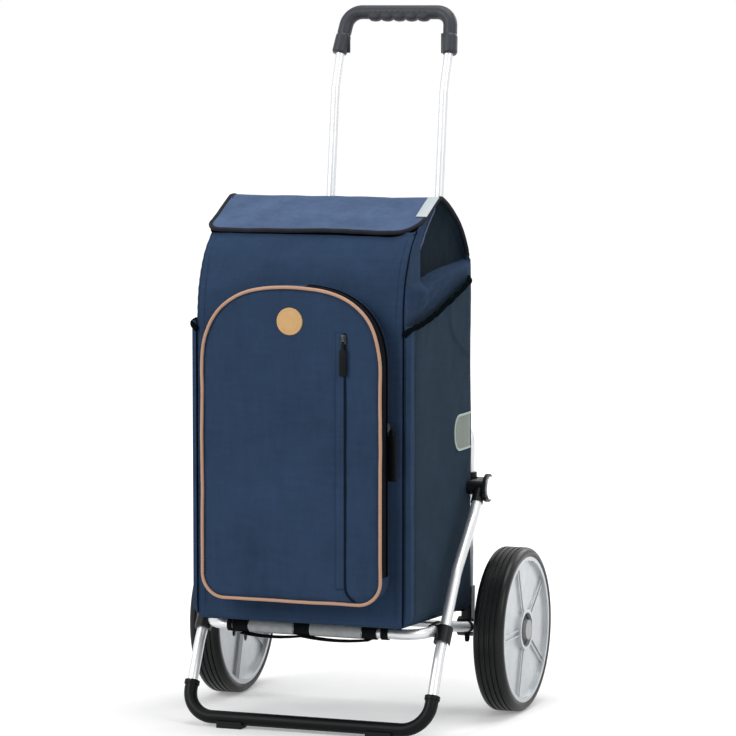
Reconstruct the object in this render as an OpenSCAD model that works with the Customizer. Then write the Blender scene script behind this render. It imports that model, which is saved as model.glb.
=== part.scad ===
/* [Wheels] */
// Outer diameter of the tyres
wheel_d = 250; // [230:1:260]
// Width of a tyre
tyre_w = 48; // [40:1:52]
// Distance between the outer faces of the two tyres
track_w = 508; // [500:1:530]
// Height of the tyre between the rim and the tread
tyre_h = 14; // [10:0.5:20]
// Depth of the grooves in the tread
tread_groove = 2; // [1:0.5:4]
// Number of spokes in a rim
spoke_count = 5; // [3:1:8]
// Width of a spoke between two cells of a rim
spoke_w = 14; // [12:1:24]
// Diameter of the black hub
hub_d = 52; // [40:1:64]
// Diameter of the hub cap
hub_cap_d = 30; // [20:1:38]
// Diameter of the axle
axle_d = 12; // [8:0.5:14]

/* [Frame] */
// Outer diameter of the handle tubes
handle_tube_d = 14; // [12:0.5:15]
// Outer diameter of the tubes of the stand and the shelf
leg_tube_d = 16; // [13:0.5:16.5]
// Wall of all the tubes
tube_wall = 1.2; // [0.8:0.1:2]
// Distance between the axes of the handle tubes above the bag
handle_gap = 178; // [150:1:200]
// Distance between the axes of the handle tubes beside the wheels
low_gap = 316; // [310:1:317]
// Height of the lower end of the set-in of the handle tubes
set_in_z = 419; // [400:1:440]
// Height of the set-in of the handle tubes
set_in_h = 93; // [80:1:110]
// Height of the handle bar's axis
handle_z = 1060; // [1020:1:1100]
// Diameter of the handle bar
grip_d = 23.5; // [20:0.5:28]
// Number of finger bumps under the handle bar
bump_count = 5; // [3:1:6]

/* [Stand] */
// Distance between the axes of the stand's legs
stand_gap = 382; // [382:0.5:384]
// Height of the stand's pivots
pivot_z = 345; // [335:1:355]
// How far the stand's pivots lie in front of the axle
pivot_front = 41; // [36:1:46]
// How far the floor bar lies in front of the axle
foot_front = 281; // [270:1:295]
// Diameter of the round pivot discs
disc_d = 43; // [36:1:46]
// Wall of the cover round the floor bar
cover_t = 2; // [1.5:0.5:2.5]
// Height of the cover's ends above the floor
cover_z = 62; // [60:1:80]
// Length of a rubber pad
pad_l = 40; // [30:1:50]
// Distance between the middles of the rubber pads
pad_gap = 236; // [200:1:260]

/* [Shelf] */
// Distance between the axes of the shelf's arms
shelf_gap = 348; // [347.5:0.5:349]
// How far the shelf's cross bar lies in front of the axle
bar_front = 245; // [235:1:250]
// How far the shelf's cross bar lies above the axle
bar_rise = 24; // [22:0.5:26]
// Length of a leg clip along the leg
clip_l = 26; // [20:1:30]

/* [Bag] */
// Width of the bag
bag_w = 326; // [310:1:326]
// Depth of the bag
bag_d = 294; // [280:1:300]
// Thickness of the cloth
cloth_t = 3; // [2:0.5:4]
// Height of the front edge of the mouth
mouth_z = 740; // [725:1:750]
// Height of the lid's ridge
ridge_z = 787; // [780:1:800]
// Height at which the front begins to lean back
lean_z = 615; // [600:1:640]
// Width of the front pocket
pocket_w = 282; // [240:1:290]
// Depth of the front pocket
pocket_d = 38; // [25:1:45]
// Height of the top of the front pocket
pocket_top_z = 666; // [640:1:680]
// Diameter of the round badge
badge_d = 40; // [30:1:50]
// How far a side pocket stands out
side_pocket_d = 8; // [7:0.5:8.5]

/* [Hidden] */

// Room between a turning hole and its pin
run = 0.05;
// Room between a pair of moving faces
slack = 0.5;
// How far a straight runs into a bend, and how much thinner the bend is
bend_lap = 1;
bend_thin = 0.02;

axle_r = axle_d / 2;
axle_z = wheel_d / 2;
tyre_in = track_w / 2 - tyre_w;
rim_r = wheel_d / 2 - tyre_h;
boss_r = hub_d / 2 + 5;
rim_lip = 6;
rim_band = 4;
web_t = 3;
outer_recess = 6;
inner_recess = 8;
outer_rib_h = 3;
inner_rib_h = 4;
cell_hole_r = 7;
spoke_turn = 55;

// Handle tubes: points of the right tube's axis, from the axle bracket to the inside of the grip
tube_r = handle_tube_d / 2;
tube_end_z = axle_z + axle_r + 8;
low_slope = 0.03;
high_slope = 0.128;
top_slope = 0.4;
set_in_slope = 0.171;
tube_foot_y = 2;
grip_leg_h = 64;
knee_z = handle_z - 117;
grip_foot_z = handle_z - grip_leg_h;
low_knee_y = tube_foot_y + low_slope * (set_in_z - tube_end_z);
high_knee_y = low_knee_y + set_in_slope * set_in_h;
knee_y = high_knee_y + high_slope * (knee_z - set_in_z - set_in_h);
function handle_y(z) = knee_y + top_slope * (z - knee_z);
function low_y(z) = tube_foot_y + low_slope * (z - tube_end_z);
handle_points = [
    [low_gap / 2, tube_foot_y, tube_end_z],
    [low_gap / 2, low_knee_y, set_in_z],
    [handle_gap / 2, high_knee_y, set_in_z + set_in_h],
    [handle_gap / 2, knee_y, knee_z],
    [handle_gap / 2, handle_y(handle_z - 30), handle_z - 30]
];

// Grip
grip_r = grip_d / 2;
grip_foot_x = handle_gap / 2 + 2;
grip_top_x = handle_gap / 2 - 5.5;
grip_step = 0.5;
bump_pitch = 20;
bump_r = grip_r - 2;
bump_drop = 4.5;

// Stand: points of the right half of the tube's axis
leg_r = leg_tube_d / 2;
leg_x = stand_gap / 2;
cover_r = leg_r + cover_t;
pad_h = 4;
lip_h = 6;
lip_t = 1.5;
foot_z = cover_r + pad_h;
pivot = [leg_x, -pivot_front, pivot_z];
shin_y = -foot_front + 53;
shin_z = 118;
knee_front = [leg_x, -foot_front + 131, 231];
thigh = [leg_x, -pivot_front - 33, pivot_z - 42];
leg_dir = unit(thigh - pivot);
socket_r = leg_r + 1.3;
socket_in = leg_x - socket_r;
socket_start = 11;
socket_end = 27;
pin_r = 5;
socket_hub_r = 10.5;
leg_points = [
    pivot + leg_dir * socket_start,
    thigh,
    knee_front,
    [leg_x, shin_y, shin_z],
    [leg_x, -foot_front, foot_z]
];
foot_bend_r = 42;
shin_bend_r = 120;
knee_bend_r = 90;
leg_radii = [knee_bend_r, knee_bend_r, shin_bend_r, foot_bend_r];
disc_in = leg_x + socket_r + 0.2;
disc_t = 5;
cap_t = 2;

// Shelf: points of the right half of the tube's axis
arm_x = shelf_gap / 2;
arm_knee = [arm_x, -bar_front + 69, axle_z + 27.3];
arm_dir = unit(arm_knee - [arm_x, 0, axle_z]);
eye_r = 12.5;
eye_t = 14;
arm_start = 11;
bar_bend_r = 38;
arm_bend_r = 40;
bar_z = axle_z + bar_rise;
bar_corner = [arm_x, -bar_front, bar_z];
arm_points = [[arm_x, 0, axle_z] + arm_dir * arm_start, arm_knee, bar_corner];
arm_wall = 2;

// What is on the shelf's cross bar
strap_r = leg_r + 1.5;
sleeve_r = leg_r + 2;
strap_outer_left = [-136, -128.5];
strap_inner_left = [-127, -103];
sleeve_left = [-101, -31];
strap_middle = [-29, -5];
sleeve_right = [-4, 77];
strap_inner_right = [79, 101];
strap_outer_right = [108, 119];
band_sag = 4;
band_t = 1.5;
band_w = 20;

// Leg clip: a sleeve on the shelf's arm and a channel open to the rear for the leg
shin_dir = unit(knee_front - [leg_x, shin_y, shin_z]);
clip_z = axle_z + 20;
clip_at = [leg_x, shin_y, shin_z] + shin_dir * ((clip_z - shin_z) / shin_dir.z);
clip_in_r = leg_r + 1.5;
clip_out_r = clip_in_r + 3;
clip_sleeve_l = 24;

// Loop that hangs under the shelf's arm
hook_at = 51;
hook_w = 12;
hook_t = 4;
hook_drop = 17;
hook_hole_r = 3;
hook_wall = 0.7;

// Bag: outline in the plane across the axle, as [y, z]
bag_back = -8;
bag_front = bag_back - bag_d;
bag_half = bag_w / 2;
bag_front_z = bar_z + sleeve_r + 2.5;
bag_rear_z = bar_z + 1;
mouth_in = 57;
ridge_in = 150;
shoulder_drop = 97;
rear_pull = [39, 30];
mouth_y = bag_front + mouth_in;
ridge_y = bag_front + ridge_in;
shoulder_z = ridge_z - shoulder_drop;
bag_corner_r = 16;
curve_steps = 6;
lean_pull = 45;
past_top = 50;
front_curve = bezier([bag_front, lean_z], [bag_front, mouth_z - lean_pull], [mouth_y, mouth_z]);
lid_slope = [[mouth_y, mouth_z + 3], [ridge_y - 6, ridge_z - 1]];
rear_curve = bezier([ridge_y + 8, ridge_z], [bag_back, ridge_z] - rear_pull, [bag_back - 1, shoulder_z]);
arch = concat(lid_slope, rear_curve);
lid_rise = unit(lid_slope[1] - lid_slope[0]);
lid_line = concat([lid_slope[0] - lid_rise * 12], arch);

// Lid
lid_gap = 0.5;
lid_t = 3;
lid_over = 2;
binding_t = 2.5;
lid_corner_r = 42;
lid_plan_back = 20;
strip_w = 13;

// Front pocket: outline in the plane of the bag's front, as [x, z]
pocket_face = bag_front - pocket_d;
pocket_bottom_z = 203;
pocket_arch_h = 128;
pocket_corner_r = 36;
piping_w = 4.5;
piping_t = 3;
badge_drop = 51;
badge_z = pocket_top_z - badge_drop;
badge_t = 1.5;
zip_x = 84;
zip_w = 9;
zip_t = 1;
zip_top_z = 600;
zip_bottom_z = 218;
slider_l = 60;
slider_t = 5;
puller_z = 470;
puller_l = 85;
gusset_zip_y = bag_front - 14;
gusset_zip_l = pocket_top_z - pocket_arch_h - pocket_bottom_z - pocket_corner_r - 4;

// Side pockets
side_pocket_t = 2;
side_lift = 8;
side_front_y = bag_front + 4;
side_rear_y = bag_back - 18;
side_front_z = 597;
side_rear_z = 655;
side_seam = 3;
elastic_h = 10;
elastic_t = 1;

// Reach of the trolley to the front and to the rear, and the shift that puts its middle at y = 0
reach_front = pocket_face - zip_t - slider_t;
reach_rear = max(handle_y(handle_z) + grip_r, wheel_d / 2);
shift_y = -(reach_front + reach_rear) / 2;

function unit(v) = v / norm(v);
function clamp1(c) = max(-1, min(1, c));
function flip(p) = [-p.x, p.y, p.z];
function reversed(p) = [for (i = [len(p) - 1:-1:0]) p[i]];
function bezier(a, b, c) = [
    for (i = [0:curve_steps]) let (t = i / curve_steps)
        a * (1 - t) * (1 - t) + b * 2 * t * (1 - t) + c * t * t
];
function beside(p, d) = [
    for (i = [0:len(p) - 1])
        let (t = unit(p[min(i + 1, len(p) - 1)] - p[max(i - 1, 0)]))
            p[i] + d * [-t.y, t.x]
];
function middle(span) = (span[0] + span[1]) / 2;
function tail(p) = [for (i = [1:len(p) - 1]) p[i]];
function sag_line(x0, x1, z) = bezier([x0, z], [(x0 + x1) / 2, z - 2 * band_sag], [x1, z]);
function bend_angle(p, i) = acos(clamp1(unit(p[i] - p[i - 1]) * unit(p[i + 1] - p[i])));
function tangent(p, radii, i) =
    i == 0 || i == len(p) - 1 ? 0 : radii[i - 1] * tan(bend_angle(p, i) / 2);

$fn = 48;

// Moves a piece from the axle's frame to the part's frame
module placed() {
    translate([0, shift_y, 0]) children();
}

// The right-hand piece as it is, or mirrored to the left
module side(s) {
    if (s > 0) children();
    else mirror([1, 0, 0]) children();
}

// Straight solid rod from a to b
module rod(a, b, r) {
    v = b - a;
    translate(a) rotate([0, acos(clamp1(v.z / norm(v))), atan2(v.y, v.x)])
        cylinder(h = norm(v), r = r);
}

// Bend of a rod at point p, on the way from a to b
module elbow(a, p, b, bend_r, r) {
    u = unit(p - a);
    w = unit(b - p);
    turn = acos(clamp1(u * w));
    n = unit(cross(u, w));
    start = p - u * bend_r * tan(turn / 2);
    out = -cross(n, u);
    yaw = atan2(n.y, n.x);
    tip = acos(clamp1(n.z));
    x1 = out.x * cos(yaw) + out.y * sin(yaw);
    y1 = -out.x * sin(yaw) + out.y * cos(yaw);
    spin = atan2(y1, x1 * cos(tip) - out.z * sin(tip));
    translate(start - out * bend_r) rotate([0, tip, yaw]) rotate([0, 0, spin])
        rotate_extrude(angle = turn) translate([bend_r, 0]) circle(r);
}

// Solid rod along the points, with a bend radius for each inner point. The straights run a little
// way into the bends, which are a hair thinner, and the ends can reach past their points.
module bent_rod(p, radii, r, past = 0, thin = bend_thin) {
    last = len(p) - 2;
    for (i = [0:last]) {
        u = unit(p[i + 1] - p[i]);
        before = i == 0 ? past : bend_lap - tangent(p, radii, i);
        after = i == last ? past : bend_lap - tangent(p, radii, i + 1);
        rod(p[i] - u * before, p[i + 1] + u * after, r);
    }
    for (i = [1:last]) elbow(p[i - 1], p[i], p[i + 1], radii[i - 1], r - thin);
}

// Tube with the given wall along the points
module bent_tube(p, radii, r, wall) {
    difference() {
        bent_rod(p, radii, r);
        bent_rod(p, radii, r - wall, 1);
    }
}

// Cylinder along X from x0 to x1 at the given y and z
module along_x(x0, x1, y, z, r) {
    translate([x0, y, z]) rotate([0, 90, 0]) cylinder(h = x1 - x0, r = r);
}

// Outline in [y, z], drawn out along X
module across(x0, x1) {
    translate([x0, 0, 0]) rotate([90, 0, 90]) linear_extrude(x1 - x0) children();
}

// Outline in [x, z], drawn out towards the front from y
module forward(y, depth) {
    translate([0, y, 0]) rotate([90, 0, 0]) linear_extrude(depth) children();
}

// Rectangle with two corner radii, the front pair and the rear pair
module plan(x, y0, y1, front_r, rear_r) {
    translate([-x + max(front_r, rear_r), y0]) square([2 * (x - max(front_r, rear_r)), y1 - y0]);
    translate([-x, y0 + front_r]) square([2 * x, y1 - y0 - front_r - rear_r]);
    for (s = [-1, 1]) {
        translate([s * (x - front_r), y0 + front_r]) circle(front_r);
        translate([s * (x - rear_r), y1 - rear_r]) circle(rear_r);
    }
}

// ---- Frame ----

module handle_tube(s) {
    placed() side(s) color("silver")
        bent_tube(handle_points, [45, 45, 60], tube_r, tube_wall);
}

module handle_grip() {
    foot_y = handle_y(grip_foot_z);
    top_y = handle_y(handle_z);
    foot = [grip_foot_x, foot_y, grip_foot_z];
    top = [grip_top_x, top_y, handle_z];
    placed() color("#26262a") difference() {
        union() {
            bent_rod([flip(foot), flip(top), top, foot], [24, 24], grip_r, thin = grip_step);
            for (i = [0:bump_count - 1])
                translate([(i - (bump_count - 1) / 2) * bump_pitch, top_y, handle_z - bump_drop])
                    rotate([90, 0, 0]) sphere(bump_r);
        }
        for (s = [-1, 1]) side(s)
            rod([handle_gap / 2, handle_y(knee_z + 20), knee_z + 20], handle_points[4], tube_r);
    }
}

module axle() {
    x = track_w / 2 - 4;
    placed() color("#9a9da0") along_x(-x, x, 0, axle_z, axle_r);
}

module axle_bracket(s) {
    low_x = low_gap / 2;
    outer = low_x + tube_r + slack;
    sleeve_r = tube_r + 4;
    foot = [low_x, low_y(axle_z - 6), axle_z - 6];
    top = [low_x, low_y(axle_z + 62), axle_z + 62];
    placed() side(s) color("#1b1c1e") difference() {
        intersection() {
            union() {
                rod(foot, top, sleeve_r);
                along_x(low_x - 14, outer, 0, axle_z, axle_r + 9);
            }
            translate([low_x - 20, -40, 0]) cube([outer - low_x + 20, 80, axle_z + 100]);
        }
        rod(handle_points[0], [low_x, low_y(axle_z + 90), axle_z + 90], tube_r);
        along_x(low_x - 30, low_x + 30, 0, axle_z, axle_r);
    }
}

module pivot_bracket(s) {
    low_x = low_gap / 2;
    tube_y = low_y(pivot_z);
    plate_x = bag_half + side_pocket_d + 1.5;
    plate_t = socket_in - slack - plate_x;
    half_h = 9;
    placed() side(s) color("#1b1c1e") {
        difference() {
            union() {
                rod([low_x, low_y(pivot_z - 17), pivot_z - 17], [low_x, low_y(pivot_z + 17), pivot_z + 17],
                    tube_r + 3.5);
                translate([plate_x, -pivot_front, pivot_z - half_h])
                    cube([plate_t, tube_y + pivot_front + tube_r, 2 * half_h]);
                translate([low_x, tube_y, pivot_z - half_h])
                    cube([plate_x + plate_t - low_x, tube_r, 2 * half_h]);
            }
            rod([low_x, low_y(pivot_z - 40), pivot_z - 40], [low_x, low_y(pivot_z + 40), pivot_z + 40],
                tube_r);
        }
        along_x(plate_x, plate_x + plate_t, -pivot_front, pivot_z, socket_hub_r);
        along_x(plate_x + plate_t, leg_x + leg_r, -pivot_front, pivot_z, pin_r);
    }
}

// ---- Bag ----

module bag_outline() {
    polygon(concat(
        [[bag_front, bag_front_z], [bag_back, bag_rear_z]],
        reversed(arch), reversed(front_curve)));
}

module bag_room() {
    polygon(concat(
        [[bag_front + cloth_t, bag_front_z + cloth_t], [bag_back - cloth_t, bag_rear_z + cloth_t],
            [bag_back - cloth_t, ridge_z + 20], [mouth_y + cloth_t, ridge_z + 20]],
        reversed(beside(front_curve, -cloth_t))));
}

module bag_body() {
    placed() color("#2e4060") difference() {
        intersection() {
            across(-bag_half, bag_half) bag_outline();
            linear_extrude(ridge_z + past_top)
                plan(bag_half, bag_front, bag_back, bag_corner_r, bag_corner_r);
        }
        intersection() {
            across(-bag_half, bag_half) bag_room();
            linear_extrude(ridge_z + past_top)
                plan(bag_half - cloth_t, bag_front + cloth_t, bag_back - cloth_t,
                    bag_corner_r - cloth_t, bag_corner_r - cloth_t);
        }
    }
}

module bag_hanger(s) {
    z = shoulder_z - 25;
    y = knee_y + high_slope * (z - knee_z);
    h = 24;
    low = [handle_gap / 2, y - high_slope * h / 2, z - h / 2];
    high = [handle_gap / 2, y + high_slope * h / 2, z + h / 2];
    placed() side(s) color("#1b1c1e") difference() {
        union() {
            rod(low, high, tube_r + 2);
            translate([handle_gap / 2 - 1.5, bag_back, z - h / 2]) cube([3, y - bag_back, h]);
        }
        rod(low - [0, 2 * high_slope, 2] * h, high + [0, 2 * high_slope, 2] * h, tube_r);
    }
}

module pocket_outline(inset) {
    half = pocket_w / 2 - inset;
    top = pocket_arch_h - inset;
    base = pocket_top_z - pocket_arch_h;
    low = pocket_bottom_z + inset;
    corner = pocket_corner_r - inset;
    polygon([for (a = [0:6:180])
        [half * sign(cos(a)) * pow(abs(cos(a)), 0.78), base + top * pow(abs(sin(a)), 0.78)]]);
    translate([-half, low + corner]) square([2 * half, base - low - corner]);
    translate([-half + corner, low]) square([2 * (half - corner), corner + 1]);
    for (s = [-1, 1]) translate([s * (half - corner), low + corner]) circle(corner);
}

module front_pocket() {
    placed() color("#334766") difference() {
        forward(bag_front + 40, pocket_d + 40) pocket_outline(0);
        forward(bag_front + 41, pocket_d + 41 - cloth_t) pocket_outline(cloth_t);
        across(-bag_half, bag_half) bag_outline();
    }
}

module pocket_piping() {
    placed() color("#c89b7d") forward(pocket_face, piping_t) difference() {
        pocket_outline(0);
        pocket_outline(piping_w);
    }
}

module badge() {
    placed() color("#d7af6e") translate([0, pocket_face, badge_z]) rotate([90, 0, 0])
        cylinder(h = badge_t, d = badge_d);
}

module front_zip() {
    placed() color("#22344f") translate([zip_x - zip_w / 2, pocket_face - zip_t, zip_bottom_z])
        cube([zip_w, zip_t, zip_top_z - zip_bottom_z]);
}

module front_zip_slider() {
    y = pocket_face - zip_t - 0.1;
    placed() color("#17181a") {
        translate([zip_x - 4, y - slider_t + 0.1, zip_top_z - 16]) cube([8, slider_t - 0.1, 14]);
        translate([zip_x - 3.5, y - 3, zip_top_z - slider_l - 2]) cube([7, 3, slider_l - 14]);
    }
}

module gusset_zip() {
    placed() color("#1b2430")
        translate([pocket_w / 2, gusset_zip_y - zip_w / 2, pocket_bottom_z + pocket_corner_r + 4])
            cube([zip_t, zip_w, gusset_zip_l]);
}

module gusset_zip_slider() {
    x = pocket_w / 2 + zip_t + 0.1;
    placed() color("#17181a") {
        translate([x, gusset_zip_y - 4, puller_z - 16]) cube([slider_t, 8, 16]);
        translate([x, gusset_zip_y - 3.5, puller_z - puller_l]) cube([3, 7, puller_l - 16]);
    }
}

function side_pocket_points(inset) = [
    [side_front_y + inset, bag_front_z + side_lift + inset],
    [side_rear_y - inset, bag_rear_z + side_lift + inset]
];
function side_pocket_top() = bezier(
    [side_front_y, side_front_z], [(side_front_y + side_rear_y) / 2, side_front_z + 8],
    [side_rear_y, side_rear_z]);

module side_pocket(s) {
    placed() side(s) color("#2c3b4a") difference() {
        across(bag_half, bag_half + side_pocket_d)
            polygon(concat(side_pocket_points(0), reversed(side_pocket_top())));
        across(bag_half - 1, bag_half + side_pocket_d - side_pocket_t)
            polygon(concat(side_pocket_points(side_seam),
                [[side_rear_y - side_seam, side_rear_z + 9], [side_front_y + side_seam, side_rear_z + 9]]));
    }
}

module pocket_edge(s) {
    top = side_pocket_top();
    placed() side(s) color("#17191c")
        across(bag_half + side_pocket_d, bag_half + side_pocket_d + elastic_t)
            polygon(concat(top, reversed([for (p = top) p - [0, elastic_h]])));
}

module reflector(s) {
    h = 60;
    l = 78;
    z = 428;
    y = side_rear_y - 3;
    placed() side(s) color("#7d877f")
        across(bag_half + side_pocket_d, bag_half + side_pocket_d + elastic_t) {
            translate([y - l + h / 2, z - h / 2]) square([l - h / 2, h]);
            translate([y - l + h / 2, z]) circle(h / 2);
        }
}

// Sheet that follows the arch between two distances above it
module arch_sheet(low, high, x0, x1) {
    across(x0, x1) polygon(concat(beside(lid_line, low), reversed(beside(lid_line, high))));
}

module lid_plan(grow) {
    linear_extrude(ridge_z + past_top)
        plan(bag_half + lid_over + grow, mouth_y - 6 - grow, lid_plan_back, lid_corner_r + grow, 1);
}

module lid() {
    x = bag_half + lid_over;
    placed() color("#58678c") intersection() {
        arch_sheet(lid_gap, lid_gap + lid_t, -x, x);
        lid_plan(0);
    }
}

module lid_binding() {
    x = bag_half + lid_over + binding_t;
    placed() color("#1c1e22") difference() {
        intersection() {
            arch_sheet(lid_gap - 0.2, lid_gap + lid_t + 0.8, -x, x);
            lid_plan(binding_t);
        }
        lid_plan(0);
    }
}

module lid_strip() {
    low = lid_gap + lid_t;
    a = lid_slope[0] + lid_rise * 26;
    b = lid_slope[1] - lid_rise * 2;
    placed() color("#c9d2d0")
        across(bag_half - strip_w, bag_half) polygon(concat(beside([a, b], low),
            reversed(beside([a, b], low + 0.8))));
}

// ---- Stand ----

module stand_tube() {
    placed() color("silver")
        bent_tube(concat(leg_points, reversed([for (p = leg_points) flip(p)])),
            concat(leg_radii, reversed(leg_radii)), leg_r, tube_wall);
}

module foot_cover() {
    up = unit([leg_x, shin_y, shin_z] - leg_points[4]);
    top = leg_points[4] + up * ((cover_z - foot_z) / up.z);
    route = [top, leg_points[4], flip(leg_points[4]), flip(top)];
    placed() color("#1d1f22") difference() {
        union() {
            bent_rod(route, [foot_bend_r, foot_bend_r], cover_r);
            for (s = [-1, 1]) side(s) rod(top - up * lip_h, top, cover_r + lip_t);
        }
        bent_rod(route, [foot_bend_r, foot_bend_r], leg_r, 1);
    }
}

module foot_pad(s) {
    placed() side(s) color("#141416") difference() {
        translate([pad_gap / 2 - pad_l / 2, -foot_front - 11, 0]) cube([pad_l, 22, foot_z - 4]);
        along_x(-leg_x, leg_x, -foot_front, foot_z, cover_r);
    }
}

module leg_socket(s) {
    placed() side(s) color("#1b1c1e") difference() {
        union() {
            along_x(socket_in, disc_in, pivot.y, pivot.z, socket_hub_r);
            rod(pivot, pivot + leg_dir * socket_end, socket_r);
        }
        rod(leg_points[0], pivot + leg_dir * (socket_end + 5), leg_r);
        along_x(socket_in - 5, disc_in + 5, pivot.y, pivot.z, pin_r + run);
    }
}

module pivot_disc(s) {
    placed() side(s) color("#1d1f22") along_x(disc_in, disc_in + disc_t, pivot.y, pivot.z, disc_d / 2);
}

module pivot_cap(s) {
    placed() side(s) color("#b9bcbe")
        along_x(disc_in + disc_t, disc_in + disc_t + cap_t, pivot.y, pivot.z, disc_d / 2 - 4);
}

// ---- Shelf ----

module shelf_tube() {
    placed() color("silver")
        bent_tube(concat(arm_points, reversed([for (p = arm_points) flip(p)])),
            [arm_bend_r, bar_bend_r, bar_bend_r, arm_bend_r], leg_r, tube_wall);
}

module shelf_eye(s) {
    placed() side(s) color("#1b1c1e") difference() {
        along_x(arm_x - eye_t / 2, arm_x + eye_t / 2, 0, axle_z, eye_r);
        along_x(arm_x - eye_t, arm_x + eye_t, 0, axle_z, axle_r + run);
        rod(arm_points[0], arm_points[0] + arm_dir * 30, leg_r);
    }
}

module leg_clip(s) {
    lean = atan2(shin_dir.y, shin_dir.z);
    front_dir = unit(bar_corner - arm_knee);
    sleeve_front = bar_corner - front_dir * (bar_bend_r + 1);
    sleeve_rear = sleeve_front - front_dir * clip_sleeve_l;
    placed() side(s) color("#1d1e20") difference() {
        union() {
            rod(sleeve_rear, sleeve_front, leg_r + arm_wall);
            rod(clip_at - shin_dir * clip_l / 2, clip_at + shin_dir * clip_l / 2, clip_out_r);
        }
        rod(clip_at - shin_dir * 40, clip_at + shin_dir * 40, clip_in_r);
        translate(clip_at) rotate([-lean, 0, 0]) translate([-clip_in_r, 0, -40])
            cube([2 * clip_in_r, 40, 80]);
        rod(sleeve_rear - front_dir * 5, bar_corner, leg_r);
    }
}

module arm_hook(s) {
    at = [arm_x, 0, axle_z] + arm_dir * hook_at;
    placed() side(s) color("#151617") difference() {
        union() {
            rod(at - arm_dir * hook_w / 2, at + arm_dir * hook_w / 2, leg_r + hook_wall);
            translate([at.x - hook_t / 2, at.y - hook_w / 2, at.z - hook_drop])
                cube([hook_t, hook_w, hook_drop]);
            along_x(at.x - hook_t / 2, at.x + hook_t / 2, at.y, at.z - hook_drop, hook_w / 2);
        }
        rod(at - arm_dir * 40, at + arm_dir * 40, leg_r);
        along_x(at.x - 10, at.x + 10, at.y, at.z - hook_drop, hook_hole_r);
    }
}

module on_bar(span, r) {
    placed() difference() {
        along_x(span[0], span[1], -bar_front, bar_z, r);
        along_x(span[0] - 1, span[1] + 1, -bar_front, bar_z, leg_r);
    }
}

module sleeve(span) {
    color("#9b9da0") on_bar(span, sleeve_r);
}

module strap(span, r) {
    color("#17191c") on_bar(span, r);
}

module shelf_band() {
    top = bar_z - sleeve_r - 0.3;
    curve = concat(
        sag_line(middle(strap_inner_left), middle(strap_middle), top),
        tail(sag_line(middle(strap_middle), middle(strap_inner_right), top)));
    placed() color("#17191c") forward(-bar_front + band_w / 2, band_w)
        polygon(concat(curve, reversed([for (p = curve) p - [0, band_t]])));
}

// ---- Wheels ----

// Half outline of a tyre: shoulders are arcs and the tread is flat with grooves
module tyre_outline() {
    r = wheel_d / 2;
    half = tyre_w / 2;
    shoulder = 9;
    difference() {
        union() {
            translate([rim_r, -half + 1]) square([r - rim_r - shoulder, tyre_w - 2]);
            translate([rim_r, -half + shoulder]) square([r - rim_r, tyre_w - 2 * shoulder]);
            for (s = [-1, 1]) translate([r - shoulder, s * (half - shoulder)]) circle(shoulder);
        }
        for (x = [-12, -4, 4, 12]) translate([r - tread_groove, x - 1.2]) square([tread_groove + 1, 2.4]);
        translate([0, -tyre_w]) square([rim_r, 2 * tyre_w]);
    }
}

module tyre(s) {
    placed() side(s) color("#232323") translate([track_w / 2 - tyre_w / 2, 0, axle_z])
        rotate([0, 90, 0]) rotate_extrude($fn = 96) tyre_outline();
}

// Ring between the hub and the rim's band, without the ribs of the spokes
module recess(depth, rib_count, rib_w, rib_pitch, rib_h) {
    difference() {
        cylinder(h = depth, r = rim_r - rim_lip, $fn = 96);
        translate([0, 0, -1]) cylinder(h = depth + 2, r = boss_r);
        for (i = [0:spoke_count - 1], j = [0:rib_count - 1])
            rotate(spoke_turn + i * 360 / spoke_count)
                translate([0, (j - (rib_count - 1) / 2) * rib_pitch - rib_w / 2, -1])
                    cube([rim_r, rib_w, rib_h + 1]);
    }
}

// Hollow between the two webs of a rim, in one cell for each gap between spokes
module rim_cells(depth) {
    difference() {
        cylinder(h = depth, r = rim_r - rim_band, $fn = 96);
        translate([0, 0, -1]) cylinder(h = depth + 2, r = boss_r);
        for (i = [0:spoke_count - 1]) rotate(spoke_turn + i * 360 / spoke_count)
            translate([0, -spoke_w / 2, -1]) cube([rim_r, spoke_w, depth + 2]);
    }
}

module rim(s) {
    out = track_w / 2 - 1;
    in = tyre_in + 1;
    placed() side(s) color("#b4b8bb") translate([0, 0, axle_z]) rotate([0, 90, 0]) difference() {
        translate([0, 0, in]) cylinder(h = out - in, r = rim_r, $fn = 96);
        translate([0, 0, out - outer_recess])
            recess(outer_recess + 1, 2, 2.5, 8, outer_rib_h);
        translate([0, 0, in + inner_recess]) mirror([0, 0, 1])
            recess(inner_recess + 1, 4, 1.8, 4, inner_rib_h);
        translate([0, 0, in + inner_recess + web_t])
            rim_cells(out - in - inner_recess - outer_recess - 2 * web_t);
        for (i = [0:spoke_count - 1]) rotate(spoke_turn + (i + 0.5) * 360 / spoke_count)
            translate([boss_r + cell_hole_r + 4, 0, in + inner_recess - 1])
                cylinder(h = web_t + 2, r = cell_hole_r);
        translate([0, 0, in - 1]) cylinder(h = out - in + 2, r = hub_d / 2);
    }
}

module hub(s) {
    out = track_w / 2 - 6;
    placed() side(s) color("#1b1c1e") difference() {
        union() {
            along_x(tyre_in + 1, out, 0, axle_z, hub_d / 2);
            along_x(leg_x + leg_r + slack, tyre_in + 1, 0, axle_z, axle_r + 2);
        }
        along_x(0, track_w, 0, axle_z, axle_r + run);
    }
}

module hub_cap(s) {
    out = track_w / 2 - 6;
    placed() side(s) color("#c4c7c9") difference() {
        along_x(out, out + 8, 0, axle_z, hub_cap_d / 2);
        along_x(0, track_w / 2 - 3.5, 0, axle_z, axle_r + slack);
    }
}

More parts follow.
